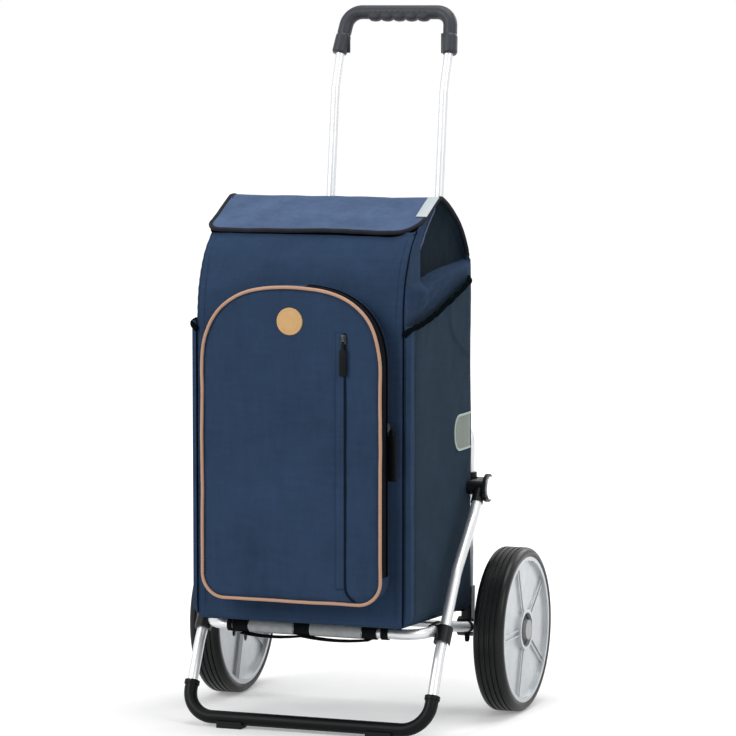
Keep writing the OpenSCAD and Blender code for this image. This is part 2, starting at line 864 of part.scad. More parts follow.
handle_tube(-1);  // handle_tube_left
handle_tube(1);  // handle_tube_right
handle_grip();
axle();
axle_bracket(-1);  // axle_bracket_left
axle_bracket(1);  // axle_bracket_right
pivot_bracket(-1);  // pivot_bracket_left
pivot_bracket(1);  // pivot_bracket_right
bag_body();
bag_hanger(-1);  // bag_hanger_left
bag_hanger(1);  // bag_hanger_right
front_pocket();
pocket_piping();
badge();
front_zip();
gusset_zip();
side_pocket(-1);  // side_pocket_left
side_pocket(1);  // side_pocket_right
pocket_edge(-1);  // pocket_edge_left
pocket_edge(1);  // pocket_edge_right
reflector(-1);  // reflector_left
reflector(1);  // reflector_right
lid();
lid_binding();
lid_strip();
front_zip_slider();
gusset_zip_slider();
stand_tube();
foot_cover();
foot_pad(-1);  // foot_pad_left
foot_pad(1);  // foot_pad_right
leg_socket(-1);  // leg_socket_left
leg_socket(1);  // leg_socket_right
pivot_disc(-1);  // pivot_disc_left
pivot_disc(1);  // pivot_disc_right
pivot_cap(-1);  // pivot_cap_left
pivot_cap(1);  // pivot_cap_right
shelf_tube();
shelf_eye(-1);  // shelf_eye_left
shelf_eye(1);  // shelf_eye_right
leg_clip(-1);  // leg_clip_left
leg_clip(1);  // leg_clip_right
arm_hook(-1);  // arm_hook_left
arm_hook(1);  // arm_hook_right
sleeve(sleeve_left);
sleeve(sleeve_right);
strap(strap_outer_left, strap_r);
strap(strap_inner_left, sleeve_r);
strap(strap_middle, sleeve_r);
strap(strap_inner_right, sleeve_r);
strap(strap_outer_right, strap_r);
shelf_band();
tyre(-1);  // tyre_left
tyre(1);  // tyre_right
rim(-1);  // rim_left
rim(1);  // rim_right
hub(-1);  // hub_left
hub(1);  // hub_right
hub_cap(-1);  // hub_cap_left
hub_cap(1);  // hub_cap_right
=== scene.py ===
"""Folding shopping trolley: the looks of every piece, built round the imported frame.

Lengths are in millimetres in the axle's frame: x to the right, y to the rear from the axle's
centre line, z up from the floor. spot() and to_frame() turn them into the frame's metres.
"""
import math

import bmesh
import bpy
import numpy as np
from mathutils import Matrix, Vector, noise


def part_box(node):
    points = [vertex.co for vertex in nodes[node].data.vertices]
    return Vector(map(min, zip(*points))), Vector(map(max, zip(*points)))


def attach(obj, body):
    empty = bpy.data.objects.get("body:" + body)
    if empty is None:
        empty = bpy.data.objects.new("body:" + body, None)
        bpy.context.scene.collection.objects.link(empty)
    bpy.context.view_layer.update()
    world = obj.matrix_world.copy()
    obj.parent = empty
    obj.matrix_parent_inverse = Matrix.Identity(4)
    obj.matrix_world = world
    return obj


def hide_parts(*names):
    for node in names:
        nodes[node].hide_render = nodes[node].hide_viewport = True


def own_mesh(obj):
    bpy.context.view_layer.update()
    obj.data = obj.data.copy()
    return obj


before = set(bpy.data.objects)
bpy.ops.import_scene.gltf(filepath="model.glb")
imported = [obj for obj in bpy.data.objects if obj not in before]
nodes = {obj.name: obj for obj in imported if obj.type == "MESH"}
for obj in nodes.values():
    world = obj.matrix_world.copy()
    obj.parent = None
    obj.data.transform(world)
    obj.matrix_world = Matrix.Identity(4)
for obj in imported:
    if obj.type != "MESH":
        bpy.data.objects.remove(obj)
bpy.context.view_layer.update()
scene = bpy.context.scene

MM = 0.001
AXLE_Y = sum(corner.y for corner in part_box("axle")) / 2
SIDES = ((-1, "left"), (1, "right"))


def span(node):
    """Lowest and highest corner of a CAD node, in millimetres in the axle's frame."""
    return [Vector((c.x, c.y - AXLE_Y, c.z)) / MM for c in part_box(node)]


def to_frame(points):
    """Points in millimetres in the axle's frame, moved to the frame in metres."""
    return np.asarray(points, float) * MM + np.array([0, AXLE_Y, 0])


def spot(x, y, z):
    return Vector(to_frame((x, y, z)))


# ---- Sizes that the frame gives ----

bag_low, bag_high = span("bag_body")
BAG_HALF = bag_high.x
BAG_FRONT, BAG_BACK = bag_low.y, bag_high.y
RIDGE_Z = bag_high.z
pocket_low, pocket_high = span("front_pocket")
POCKET_HALF = pocket_high.x
POCKET_FACE = pocket_low.y
POCKET_LOW, POCKET_TOP = pocket_low.z, pocket_high.z
SIDE_OUT, SIDE_REAR_Y, _ = span("side_pocket_right")[1]
LID_HALF = span("lid")[1].x

# ---- Sizes of the cloth parts ----

BAG_CLOTH = 2.5
SIDE_CLOTH = 1.6
GUSSET_CLOTH = 1.0
LID_CLOTH = 3
BOTTOM_FRONT_Z = 165.5
BOTTOM_REAR_Z = 153
LEAN_Z = 615
MOUTH_Z = 739
MOUTH_Y = BAG_FRONT + 57
RIDGE_Y = BAG_FRONT + 150
SHOULDER_Z = RIDGE_Z - 97
# Where the arch's rear curve is pulled to: forward from the back, and down from the ridge
REAR_PULL = (39, 30)
FRONT_CORNER = 9
REAR_CORNER = 5
PIPING_R = 2.5


# ---- Curves and noise ----

def smooth(a, b, x):
    """0 before a, 1 past b, and a smooth step between."""
    t = np.clip((np.asarray(x, float) - a) / (b - a), 0, 1)
    return t * t * (3 - 2 * t)


def hump(x, middle, width):
    """Smooth bump of height 1 about a middle."""
    return np.exp(-(((np.asarray(x, float) - middle) / width) ** 2))


def ripple(points, size, octaves, seed):
    """Gentle noise of about -1 to 1 over the points, with features of the given size in mm."""
    shift = Vector((seed, seed * 0.7, -seed))
    flat = np.asarray(points, float).reshape(-1, 3) / size
    values = [noise.fractal(Vector(p) + shift, 1.0, 2.0, octaves) for p in flat]
    return np.array(values).reshape(np.shape(points)[:-1])


def ripples(points, *parts):
    """Sum of noises, each given as its size, octaves, seed and height in mm."""
    return sum(ripple(points, size, octaves, seed) * height for size, octaves, seed, height in parts)


def uneven_wave(phase, points, size, seed, sway):
    """Sine wave whose phase wanders with a noise over the points."""
    return np.sin(phase + ripple(points, size, 2, seed) * sway)


def bezier(a, b, c):
    """Curve from a to c that is pulled towards b."""
    t = np.linspace(0, 1, 24)[:, None]
    a, b, c = (np.array(p, float) for p in (a, b, c))
    return a * (1 - t) ** 2 + b * 2 * t * (1 - t) + c * t * t


def unit(v):
    """Vectors brought to length 1."""
    v = np.asarray(v, float)
    return v / np.maximum(np.linalg.norm(v, axis=-1, keepdims=True), 1e-9)


def resample(path, step):
    """Points at an even distance along a path."""
    path = np.asarray(path, float)
    along = np.r_[0, np.cumsum(np.linalg.norm(np.diff(path, axis=0), axis=1))]
    places = np.linspace(0, along[-1], max(2, round(along[-1] / step) + 1))
    return np.stack([np.interp(places, along, path[:, i]) for i in range(path.shape[1])], axis=1)


def points_of(*parts):
    """Points whose coordinates are given part by part, each as one number or as many."""
    return np.stack(np.broadcast_arrays(*parts), axis=-1)


def in_stretches(start, *stretches):
    """Places from a start through stretches, each given as its end and its count of steps."""
    places = [start]
    for end, steps in stretches:
        places.extend(np.linspace(places[-1], end, steps + 1)[1:])
    return np.array(places)


def curve_through(points):
    """Function that looks up the points' second number by their first, straight in between."""
    known, wanted = np.asarray(points, float).T
    return lambda place: np.interp(place, known, wanted)


def upright(outline, y):
    """Points of an outline in x and z, set at a depth y."""
    return points_of(outline[:, 0], y, outline[:, 1])


# ---- Mesh helpers ----

def add_object(name, mesh, materials):
    """Object in the scene from a mesh, shaded smooth."""
    for m in materials:
        mesh.materials.append(m)
    mesh.polygons.foreach_set("use_smooth", [True] * len(mesh.polygons))
    obj = bpy.data.objects.new(name, mesh)
    scene.collection.objects.link(obj)
    return obj


def mesh_object(name, points, faces, materials, face_slots=None):
    """Object from points in millimetres, with a material slot for each face if given."""
    mesh = bpy.data.meshes.new(name)
    mesh.from_pydata([tuple(p) for p in to_frame(points)], [], faces)
    obj = add_object(name, mesh, materials)
    if face_slots is not None:
        mesh.polygons.foreach_set("material_index", face_slots)
    mesh.update()
    return obj


def grid_faces(rows, cols, closed=False, start=0):
    """Quads between rows of points, with each row closed to a ring if asked."""
    wide = cols if closed else cols - 1
    return [
        (start + i * cols + j, start + i * cols + (j + 1) % cols,
         start + (i + 1) * cols + (j + 1) % cols, start + (i + 1) * cols + j)
        for i in range(rows - 1) for j in range(wide)
    ]


def end_faces(rows, cols, start=0):
    """The two faces that close a tube's first and last ring."""
    last = start + (rows - 1) * cols
    return [tuple(range(start, start + cols)), tuple(range(last, last + cols))]


def outward(obj):
    """Turns a closed mesh's faces outwards."""
    bm = bmesh.new()
    bm.from_mesh(obj.data)
    bmesh.ops.recalc_face_normals(bm, faces=bm.faces)
    bm.to_mesh(obj.data)
    bm.free()
    return obj


def round_profile(width, height, radius):
    """Rounded rectangle as points in its own plane."""
    radius = min(radius, width / 2, height / 2)
    steps = 4
    points = []
    for cx, cy, start in ((1, 1, 0), (-1, 1, 90), (-1, -1, 180), (1, -1, 270)):
        for k in range(steps + 1):
            a = math.radians(start + 90 * k / steps)
            points.append((cx * (width / 2 - radius) + radius * math.cos(a),
                           cy * (height / 2 - radius) + radius * math.sin(a)))
    return np.array(points)


def changing_profile(radius, width, height):
    """Rounded rectangle for every point of a path, from sizes that may change along it."""
    sizes = points_of(width, height)[:, None]
    return round_profile(1, 1, radius) * sizes


def circle_profile(radius, count):
    """Round profile, where the radius may be one number or change round or along it."""
    a = np.linspace(0, 2 * np.pi, count, endpoint=False)
    return points_of(radius * np.cos(a), radius * np.sin(a))


def sweep_points(path, profile, side, closed):
    """Profile's first coordinate runs along side, its second across it, at every path point."""
    path = np.asarray(path, float)
    if closed:
        ahead, behind = np.roll(path, -1, axis=0), np.roll(path, 1, axis=0)
    else:
        ahead, behind = np.vstack([path[1:], path[-1:]]), np.vstack([path[:1], path[:-1]])
    along = unit(ahead - behind)
    side = np.broadcast_to(np.asarray(side, float), path.shape)
    first = unit(side - along * np.sum(side * along, axis=1, keepdims=True))
    second = np.cross(along, first)
    profile = np.broadcast_to(profile, (len(path),) + np.shape(profile)[-2:])
    return path[:, None] + profile[..., :1] * first[:, None] + profile[..., 1:] * second[:, None]


def sweep(name, path, profile, side, material, closed=False):
    """Profile drawn along a path, with flat ends or closed to a ring."""
    points = sweep_points(path, profile, side, closed)
    rows, cols = points.shape[:2]
    faces = grid_faces(rows + closed, cols, True)
    if closed:
        faces = [tuple(v % (rows * cols) for v in f) for f in faces]
    else:
        faces += end_faces(rows, cols)
    return outward(mesh_object(name, points.reshape(-1, 3), faces, [material]))


def add_box(bm, corner, opposite, radius, turn=None, pivot=None):
    """Rounded block between two corners, in millimetres, turned about a pivot if asked."""
    low, high = (Vector([pick(pair) for pair in zip(corner, opposite)]) for pick in (min, max))
    size = high - low
    made = bmesh.ops.create_cube(bm, size=1)["verts"]
    for v in made:
        v.co = Vector([(low[i] + high[i]) / 2 + v.co[i] * size[i] for i in range(3)])
    edges = list(dict.fromkeys(e for v in made for e in v.link_edges))
    done = bmesh.ops.bevel(bm, geom=made + edges, offset=min(radius, min(size) * 0.49),
                           segments=3, profile=0.5, affect="EDGES")
    if turn is not None:
        parts = {v for f in done["faces"] for v in f.verts} | {v for v in made if v.is_valid}
        bmesh.ops.rotate(bm, verts=list(parts), cent=Vector(pivot), matrix=turn)


def bm_object(name, bm, material):
    """Object from a bmesh whose points are in millimetres in the axle's frame."""
    for v in bm.verts:
        v.co = spot(*v.co)
    mesh = bpy.data.meshes.new(name)
    bm.to_mesh(mesh)
    bm.free()
    return add_object(name, mesh, [material])


STITCH_LENGTH = 2.6
# Place along the stitch, lift off the cloth and size of each of its rings, as shares
STITCH_RINGS = ((-0.5, 0.1, 0.55), (0, 0.9, 1), (0.5, 0.1, 0.55))


def stitches(name, path, out, material, pitch=4.0, radius=0.35):
    """Row of small raised thread stitches along a path, proud of the cloth towards out."""
    path = resample(path, pitch)
    out = unit(np.broadcast_to(np.asarray(out, float), (len(path), 3)))
    along = unit(np.gradient(path, axis=0))
    ring = circle_profile(radius, 5)
    points, faces = [], []
    for p, a, n in zip(path, along, out):
        faces += grid_faces(3, 5, True, len(points)) + end_faces(3, 5, len(points))
        for share, lift, size in STITCH_RINGS:
            middle = p + a * STITCH_LENGTH * share + n * radius * lift
            points += [middle + (n * v + np.cross(a, n) * u) * size for u, v in ring]
    return outward(mesh_object(name, points, faces, [material]))


def thicken(obj, amount, inner_slot=0):
    """Makes a sheet solid behind its face, whose inner copy takes a later material slot."""
    m = obj.modifiers.new("thickness", "SOLIDIFY")
    m.thickness = amount * MM
    m.offset = -1
    m.material_offset = inner_slot
    graph = bpy.context.evaluated_depsgraph_get()
    made = bpy.data.meshes.new_from_object(obj.evaluated_get(graph))
    obj.modifiers.clear()
    obj.data = made


# ---- Materials ----

def colour(r, g, b):
    """Linear colour from the usual 0 to 255 values."""
    values = [c / 255 for c in (r, g, b)]
    return tuple(c / 12.92 if c <= 0.04045 else ((c + 0.055) / 1.055) ** 2.4 for c in values) + (1,)


class Shading:
    """The node tree of a material or a world, built by code."""

    def __init__(self, owner):
        owner.use_nodes = True
        self.tree = owner.node_tree
        self.tree.nodes.clear()

    def node(self, kind, inputs=None, **settings):
        """New node with its settings, and with its inputs set or linked."""
        made = self.tree.nodes.new(kind)
        for key, value in settings.items():
            setattr(made, key, value)
        for key, value in (inputs or {}).items():
            if isinstance(value, bpy.types.NodeSocket):
                self.tree.links.new(value, made.inputs[key])
            else:
                made.inputs[key].default_value = value
        return made

    def maths(self, operation, a, b):
        return self.node("ShaderNodeMath", {0: a, 1: b}, operation=operation).outputs[0]

    def add(self, a, b):
        return self.maths("ADD", a, b)

    def times(self, a, b):
        return self.maths("MULTIPLY", a, b)

    def spread(self, value, low, high, start=0.0, end=1.0):
        """A value between start and end, moved to between low and high."""
        inputs = {"Value": value, "From Min": start, "From Max": end, "To Min": low, "To Max": high}
        return self.node("ShaderNodeMapRange", inputs).outputs["Result"]


class Finish(Shading):
    """A procedural material: a principled shader with textures in the object's own space."""

    def __init__(self, name, base, roughness, **sockets):
        self.material = bpy.data.materials.new(name)
        super().__init__(self.material)
        self.base = base
        inputs = {"Base Color": base, "Roughness": roughness}
        inputs |= {socket.replace("_", " "): value for socket, value in sockets.items()}
        self.shader = self.node("ShaderNodeBsdfPrincipled", inputs)
        self.node("ShaderNodeOutputMaterial", {"Surface": self.shader.outputs["BSDF"]})
        self.place = self.node("ShaderNodeTexCoord").outputs["Object"]

    def into(self, name, value):
        self.tree.links.new(value, self.shader.inputs[name])

    def noise(self, size, detail=3.0, stretch=(1, 1, 1)):
        """Noise from 0 to 1 with features of the given size in millimetres."""
        stretched = self.node("ShaderNodeMapping", {"Vector": self.place, "Scale": stretch}).outputs["Vector"]
        inputs = {"Vector": stretched, "Scale": 1 / (size * MM), "Detail": detail, "Roughness": 0.55}
        return self.node("ShaderNodeTexNoise", inputs).outputs["Fac"]

    def slubs(self, size, detail, thin):
        """Noise drawn out along the upright threads, plus noise drawn out along the others."""
        return self.add(self.noise(size, detail, (1, 1, thin)), self.noise(size, detail, (thin, thin, 1)))

    def threads(self, pitch, axis, wobble=1.2):
        """Ridges across an axis, at a pitch in millimetres."""
        inputs = {"Vector": self.place, "Scale": 2 * math.pi / (20 * pitch * MM), "Distortion": wobble,
                  "Detail": 1.5}
        return self.node("ShaderNodeTexWave", inputs, bands_direction=axis).outputs["Fac"]

    def tint(self, value, low, high):
        """Base colour made darker or lighter by a value from 0 to 1."""
        dark, light = (tuple(c * by for c in self.base[:3]) + (1,) for by in (low, high))
        mixed = self.node("ShaderNodeMix", {"Factor": value, "A": dark, "B": light}, data_type="RGBA")
        self.into("Base Color", mixed.outputs["Result"])

    def rough(self, value, low, high):
        self.into("Roughness", self.spread(value, low, high))

    def bump(self, value, depth, strength, soft_edge=0.0):
        """Raises the surface by a value from 0 to 1, over a depth in millimetres."""
        inputs = {"Strength": strength, "Distance": depth * MM, "Height": value}
        if soft_edge:
            edge = self.node("ShaderNodeBevel", {"Radius": soft_edge * MM}, samples=4)
            inputs["Normal"] = edge.outputs["Normal"]
        self.into("Normal", self.node("ShaderNodeBump", inputs).outputs["Normal"])


def cloth(name, base, weave=0.9, blotch=90, contrast=0.2):
    """Plain-woven polyester: crossed threads, slubs, and soft uneven dye."""
    f = Finish(name, base, 0.92, Specular_IOR_Level=0.04, Sheen_Weight=0.02, Sheen_Roughness=0.45,
               Sheen_Tint=(0.75, 0.85, 1, 1))
    crossed = f.add(f.add(f.threads(weave, "X"), f.threads(weave, "Z")), f.threads(weave, "Y"))
    slubs = f.slubs(weave * 4, 2, 0.12)
    f.bump(f.add(f.times(crossed, 0.3), f.times(slubs, 0.5)), 0.35, 0.6)
    dye = f.add(f.times(f.noise(blotch, 4), 0.45), f.times(slubs, 0.1))
    dye = f.add(dye, f.times(f.slubs(9, 3, 0.22), 0.19))
    f.tint(f.spread(dye, -0.1, 1.1), 1 - contrast, 1 + contrast)
    return f.material


def webbing(name, base, pitch=1.6, shine=0.04):
    """Woven strap with ribs across it."""
    f = Finish(name, base, 0.8, Specular_IOR_Level=shine)
    ribs = f.add(f.threads(pitch, "X", 0.3), f.threads(pitch, "Z", 0.3))
    f.bump(f.add(f.times(ribs, 0.4), f.noise(0.8)), 0.4, 0.7)
    f.tint(f.noise(12), 0.8, 1.35)
    return f.material


def plastic(name, base, rough=0.36, grain=0.7, edge=0.6, depth=0.06, shine=0.3, metallic=0.0):
    """Moulded plastic with a fine grain, softly rounded edges and slight scuffs."""
    f = Finish(name, base, rough, Specular_IOR_Level=shine, Metallic=metallic)
    f.bump(f.noise(grain, 2), depth, 0.8, edge)
    f.tint(f.noise(25, 4), 0.85, 1.2)
    f.rough(f.noise(9, 4), rough - 0.07, rough + 0.1)
    return f.material


def metal(name, base, rough=0.3, brushed=(1, 1, 1), metallic=0.8):
    """Drawn and anodised metal with faint lines along it."""
    f = Finish(name, base, rough, Metallic=metallic)
    f.bump(f.noise(1.4, 3, brushed), 0.004, 0.5)
    f.tint(f.noise(60), 0.94, 1.03)
    f.rough(f.noise(14, 4, brushed), rough - 0.05, rough + 0.07)
    return f.material


def rubber(name, base, rough=0.62):
    """Dull rubber with a fine grain and worn, uneven shine."""
    f = Finish(name, base, rough, Specular_IOR_Level=0.22)
    f.bump(f.noise(0.6), 0.05, 0.8, 0.5)
    f.tint(f.noise(30, 5), 0.75, 1.35)
    f.rough(f.noise(18, 4), rough - 0.1, rough + 0.08)
    return f.material


def piping_finish():
    """Copper-coloured cord covering, lightly uneven."""
    f = Finish("copper_piping", colour(176, 138, 114), 0.5, Specular_IOR_Level=0.3)
    f.bump(f.noise(1.2), 0.15, 0.5)
    f.tint(f.noise(40), 0.88, 1.1)
    return f.material


def badge_finish():
    """Tan leather with a soft grain."""
    f = Finish("tan_badge", colour(196, 158, 108), 0.62, Specular_IOR_Level=0.2)
    f.bump(f.noise(1.6, 5), 0.2, 0.5)
    f.tint(f.noise(14, 4), 0.9, 1.08)
    return f.material


def reflex_finish(name, base, rough=0.5):
    """Retro-reflecting film: a fine raised grid under a satin face."""
    f = Finish(name, base, rough, Metallic=0.2, Specular_IOR_Level=0.2)
    f.bump(f.add(f.threads(1.4, "Y", 0), f.threads(1.4, "Z", 0)), 0.05, 0.5)
    f.tint(f.noise(20), 0.93, 1.06)
    return f.material


NAVY = cloth("navy_cloth", colour(43, 60, 84), contrast=0.5)
# Greyer cloth of the sides and back, written darker than the front as painted shade.
SIDE_GREY_AND_SHADE = cloth("side_cloth_grey_and_painted_shade", colour(38, 53, 67), contrast=0.4)
# The bag's navy cloth written lighter: painted light from above on the lid.
FLAP_PAINTED_LIGHT = cloth("flap_cloth_painted_top_light", colour(74, 91, 120), contrast=0.6, blotch=45)
# Dark stretch cloth of the recess, written darker still as painted shade.
GUSSET_DARK_AND_SHADE = cloth("gusset_cloth_dark_and_painted_shade", colour(17, 29, 38))
LINING = cloth("lining_cloth", colour(38, 42, 50), weave=0.6)
BINDING = webbing("binding_tape", colour(40, 41, 47), 1.2)
# Near black: painted shade on the lip under the lid's binding, and the gusset zip's black coil.
LIP_SHADE_AND_COIL = webbing("lip_shade_and_coil_tape", colour(5, 6, 8), 1.2, shine=0)
ELASTIC = webbing("elastic_tape", colour(11, 16, 18), 1.0, shine=0)
WEBBING = webbing("strap_webbing", colour(22, 23, 26))
SLEEVE = webbing("sleeve_fabric", colour(168, 172, 172), 2.2)
# Dark zip tape, drawn wide over the pocket's gusset wall as painted shade.
ZIP_TAPE_AND_SHADE = webbing("zip_tape", colour(17, 20, 26), 1.0)
SEAM = cloth("seam_shadow", colour(17, 25, 38), weave=0.5)
THREAD = cloth("thread", colour(40, 54, 80), weave=0.3)
# Light navy along the gusset's front fold: a painted highlight on the fold's edge.
FOLD_PAINTED_HIGHLIGHT = cloth("fold_edge_painted_highlight", colour(88, 102, 130))
PLASTIC = plastic("black_plastic", colour(15, 17, 19), shine=0.22)
FOOT = plastic("foot_plastic", colour(13, 15, 16), 0.4, shine=0.12)
PULLER = plastic("puller_rubber", colour(9, 11, 13), 0.5, shine=0.1)
GRIP = plastic("grip_plastic", colour(44, 46, 52), 0.45, grain=1.1, depth=0.12)
PAD = rubber("pad_rubber", colour(12, 13, 14))
TYRE = rubber("tyre_rubber", colour(15, 17, 18), 0.34)
HUB_CAP = plastic("hub_cap_grey", colour(150, 152, 154), 0.3, shine=0.4)
TUBE = metal("aluminium_tube", (0.74, 0.75, 0.76, 1), 0.34, (1, 1, 0.05), 0.7)
AXLE_STEEL = metal("axle_steel", (0.6, 0.61, 0.62, 1), brushed=(0.05, 1, 1))
CAP = metal("silver_cap", (0.72, 0.73, 0.75, 1))
SLIDER = metal("slider_metal", (0.05, 0.052, 0.055, 1), 0.25)
RIM = plastic("rim_plastic", colour(188, 192, 195), 0.3, 0.9, 0.8, shine=0.5, metallic=0.45)
PIPING = piping_finish()
BADGE = badge_finish()
REFLEX = reflex_finish("reflex_film", colour(112, 120, 113))
REFLEX_TRIM = reflex_finish("reflex_trim", colour(158, 172, 167))
STRIP = reflex_finish("silver_strip", colour(172, 180, 184), 0.45)


def rigid(piece, body, slot, *replaced):
    """A piece that rides on a body, and the CAD nodes that it replaces."""
    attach(piece, body)
    if replaced:
        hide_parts(*replaced)


def soft(piece, body, slot, *replaced):
    """A piece of the bag: rides on a body, with a mesh of its own."""
    rigid(piece, body, slot, *replaced)
    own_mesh(piece)


# ---- Bag ----

BAG_MIDDLE_Y = (BAG_FRONT + BAG_BACK) / 2

# The front's lean and the side's arch, seen from the side, as points in y and z
lean_curve = bezier((BAG_FRONT, LEAN_Z), (BAG_FRONT, MOUTH_Z - 44), (MOUTH_Y, MOUTH_Z))
rise = [(MOUTH_Y - 12, MOUTH_Z - 1), (MOUTH_Y, MOUTH_Z + 4), (RIDGE_Y - 6, RIDGE_Z - 1)]
fall = bezier((RIDGE_Y + 8, RIDGE_Z), (BAG_BACK - REAR_PULL[0], RIDGE_Z - REAR_PULL[1]),
              (BAG_BACK - 1, SHOULDER_Z))
front_y = curve_through(np.vstack([(0, BAG_FRONT), lean_curve[:, ::-1]]))
arch_z = curve_through(np.vstack([rise, fall]))
bottom_z = curve_through([(BAG_FRONT, BOTTOM_FRONT_Z), (BAG_BACK, BOTTOM_REAR_Z)])

# Edge of the recessed gusset in the side: its front edge by height, and its lower edge by depth
gusset_front_y = curve_through([(660, -230), (720, -226), (737, -213), (754, -193), (769, -171), (786, -156)])
gusset_base_z = curve_through([(-232, 662), (-223, 667), (-178, 677), (-133, 681), (-42, 686), (0, 693)])
# Upper edge of the side pocket, by depth
elastic_z = curve_through([(BAG_FRONT, 611), (-282, 612), (-236, 617), (-188, 626), (-139, 638), (-80, 653),
                           (-27, 666), (0, 672)])

BAG_ROWS = 170
BAG_FLOOR_RINGS = 7
FLOOR_RISE = 0.8
GUSSET_SINK = 9.5
GUSSET_LOW = 652
RECESS = 16.5
FOLD_OUT = 15
HEM = 9
PANEL_FRONT_Y = -281
SIDE_RUN = 290
FAR_OFF = 300
SEAM_HALF = 1.4


def gusset_depth(y, z):
    """0 outside the gusset's recess and 1 inside it."""
    return smooth(-5, 6, y - gusset_front_y(z)) * smooth(-9, 5, z - gusset_base_z(y))


def bag_columns():
    """Plan of the bag as columns: x, share of the way back, offset in y, outward x and y, and
    the way from the seam in the front corner, which at the rear is only known to be far off."""
    flat, rear = BAG_HALF - FRONT_CORNER, BAG_HALF - REAR_CORNER
    half_arc = FRONT_CORNER * math.pi / 4
    coarse = flat - 14
    near = np.linspace(coarse, flat, 11)[1:]
    front = [(x, 0, 0, 0, -1, abs(x) - flat - half_arc)
             for x in np.r_[-near[::-1], np.linspace(-coarse, coarse, 57), near]]
    side = []
    for a in np.radians(np.linspace(0, 90, 21)[1:-1]):
        side.append((flat + FRONT_CORNER * math.sin(a), 0, FRONT_CORNER * (1 - math.cos(a)),
                     math.sin(a), -math.cos(a), (a - math.pi / 4) * FRONT_CORNER))
    for w in in_stretches(0, (0.06, 12), (0.16, 8), (0.34, 30), (1, 50)):
        side.append((BAG_HALF, w, FRONT_CORNER * (1 - w) - REAR_CORNER * w, 1, 0, half_arc + w * SIDE_RUN))
    for a in np.radians(np.linspace(0, 90, 7)[1:-1]):
        side.append((rear + REAR_CORNER * math.cos(a), 1, -REAR_CORNER * (1 - math.sin(a)),
                     math.cos(a), math.sin(a), FAR_OFF))
    back = [(x, 1, 0, 0, 1, FAR_OFF) for x in np.linspace(rear, -rear, 51)]
    left = [(-x, w, off, -nx, ny, d) for x, w, off, nx, ny, d in reversed(side)]
    return np.array(front + side + back + left)


def bag_height(y_of):
    """Height of the top edge of each column, where y_of(z) gives the columns' y."""
    z = MOUTH_Z
    for _ in range(12):
        z = np.minimum(arch_z(y_of(z)) - 1.5, RIDGE_Z)
    return z


def side_relief(p, y, z):
    """Slack cloth that folds over the side pocket's edge, below the recess of the gusset."""
    edge = elastic_z(y)
    share = (z - edge) / (gusset_base_z(y) - edge)
    ends = smooth(BAG_FRONT + 9, BAG_FRONT + 55, y) * smooth(BAG_BACK, BAG_BACK - 40, y)
    slack = np.clip(share, 0, 1) ** 1.2 * smooth(1.2, 0.86, share)
    band = ends * smooth(-0.1, 0.2, share) * smooth(1.05, 0.7, share)
    drape = uneven_wave((z - (y + 150) * 0.32 - 655) / 8.5, p, 70, 31, 2.4)
    folds = ends * slack * FOLD_OUT + band * (drape * 2.1 + ripple(p, 26, 2, 19) * 1.6)
    crease = band * hump(z - (636 + (y + 262) * 0.3), 0, 5) * 4.5 * smooth(-90, -150, y)
    inside = gusset_depth(y, z)
    return folds * (1 - inside) - crease - inside * RECESS


def front_relief(p, x, z):
    """Waves under the lid's edge, and faint upright ones in the leaning part."""
    under_lid = hump(z, MOUTH_Z - 30, 26)
    waves = under_lid * (0.8 * np.sin(x / 31 + 1.3) + 0.5 * uneven_wave(x / 12, p, 40, 6, 3))
    return waves + ripple(p * (1, 1, 0.25), 26, 2, 27) * 0.5 * smooth(500, 620, z)


def bag_relief(x, y, z, nx, ny, seam):
    """How far the cloth stands out from the plain box, in millimetres."""
    p = points_of(x, y, z)
    out = ripples(p, (130, 3, 2, 1.1), (38, 2, 7, 0.35))
    out += np.where(np.abs(nx) > 0.9, side_relief(p, y, z), 0)
    out += np.where(np.abs(nx) > 0.3, 2.8 * smooth(-190, -50, y), 0)
    out += np.where(ny < -0.5, front_relief(p, x, z), 0)
    out += 1.4 * hump(seam, 3.2, 1.5) - 2.4 * hump(seam, 0, 1.2)
    out -= np.where(ny < 0.5, 1.6 * hump(seam, 6, 14) * smooth(690, 735, z), 0)
    out += 0.3 * uneven_wave(z / 13 * 2 * np.pi, p, 50, 4, 3) * hump(np.abs(seam), 8, 9)
    low = z - bottom_z(y)
    return out + 0.5 * hump(low, 4, 5) - 0.6 * hump(low, 11, 2.5)


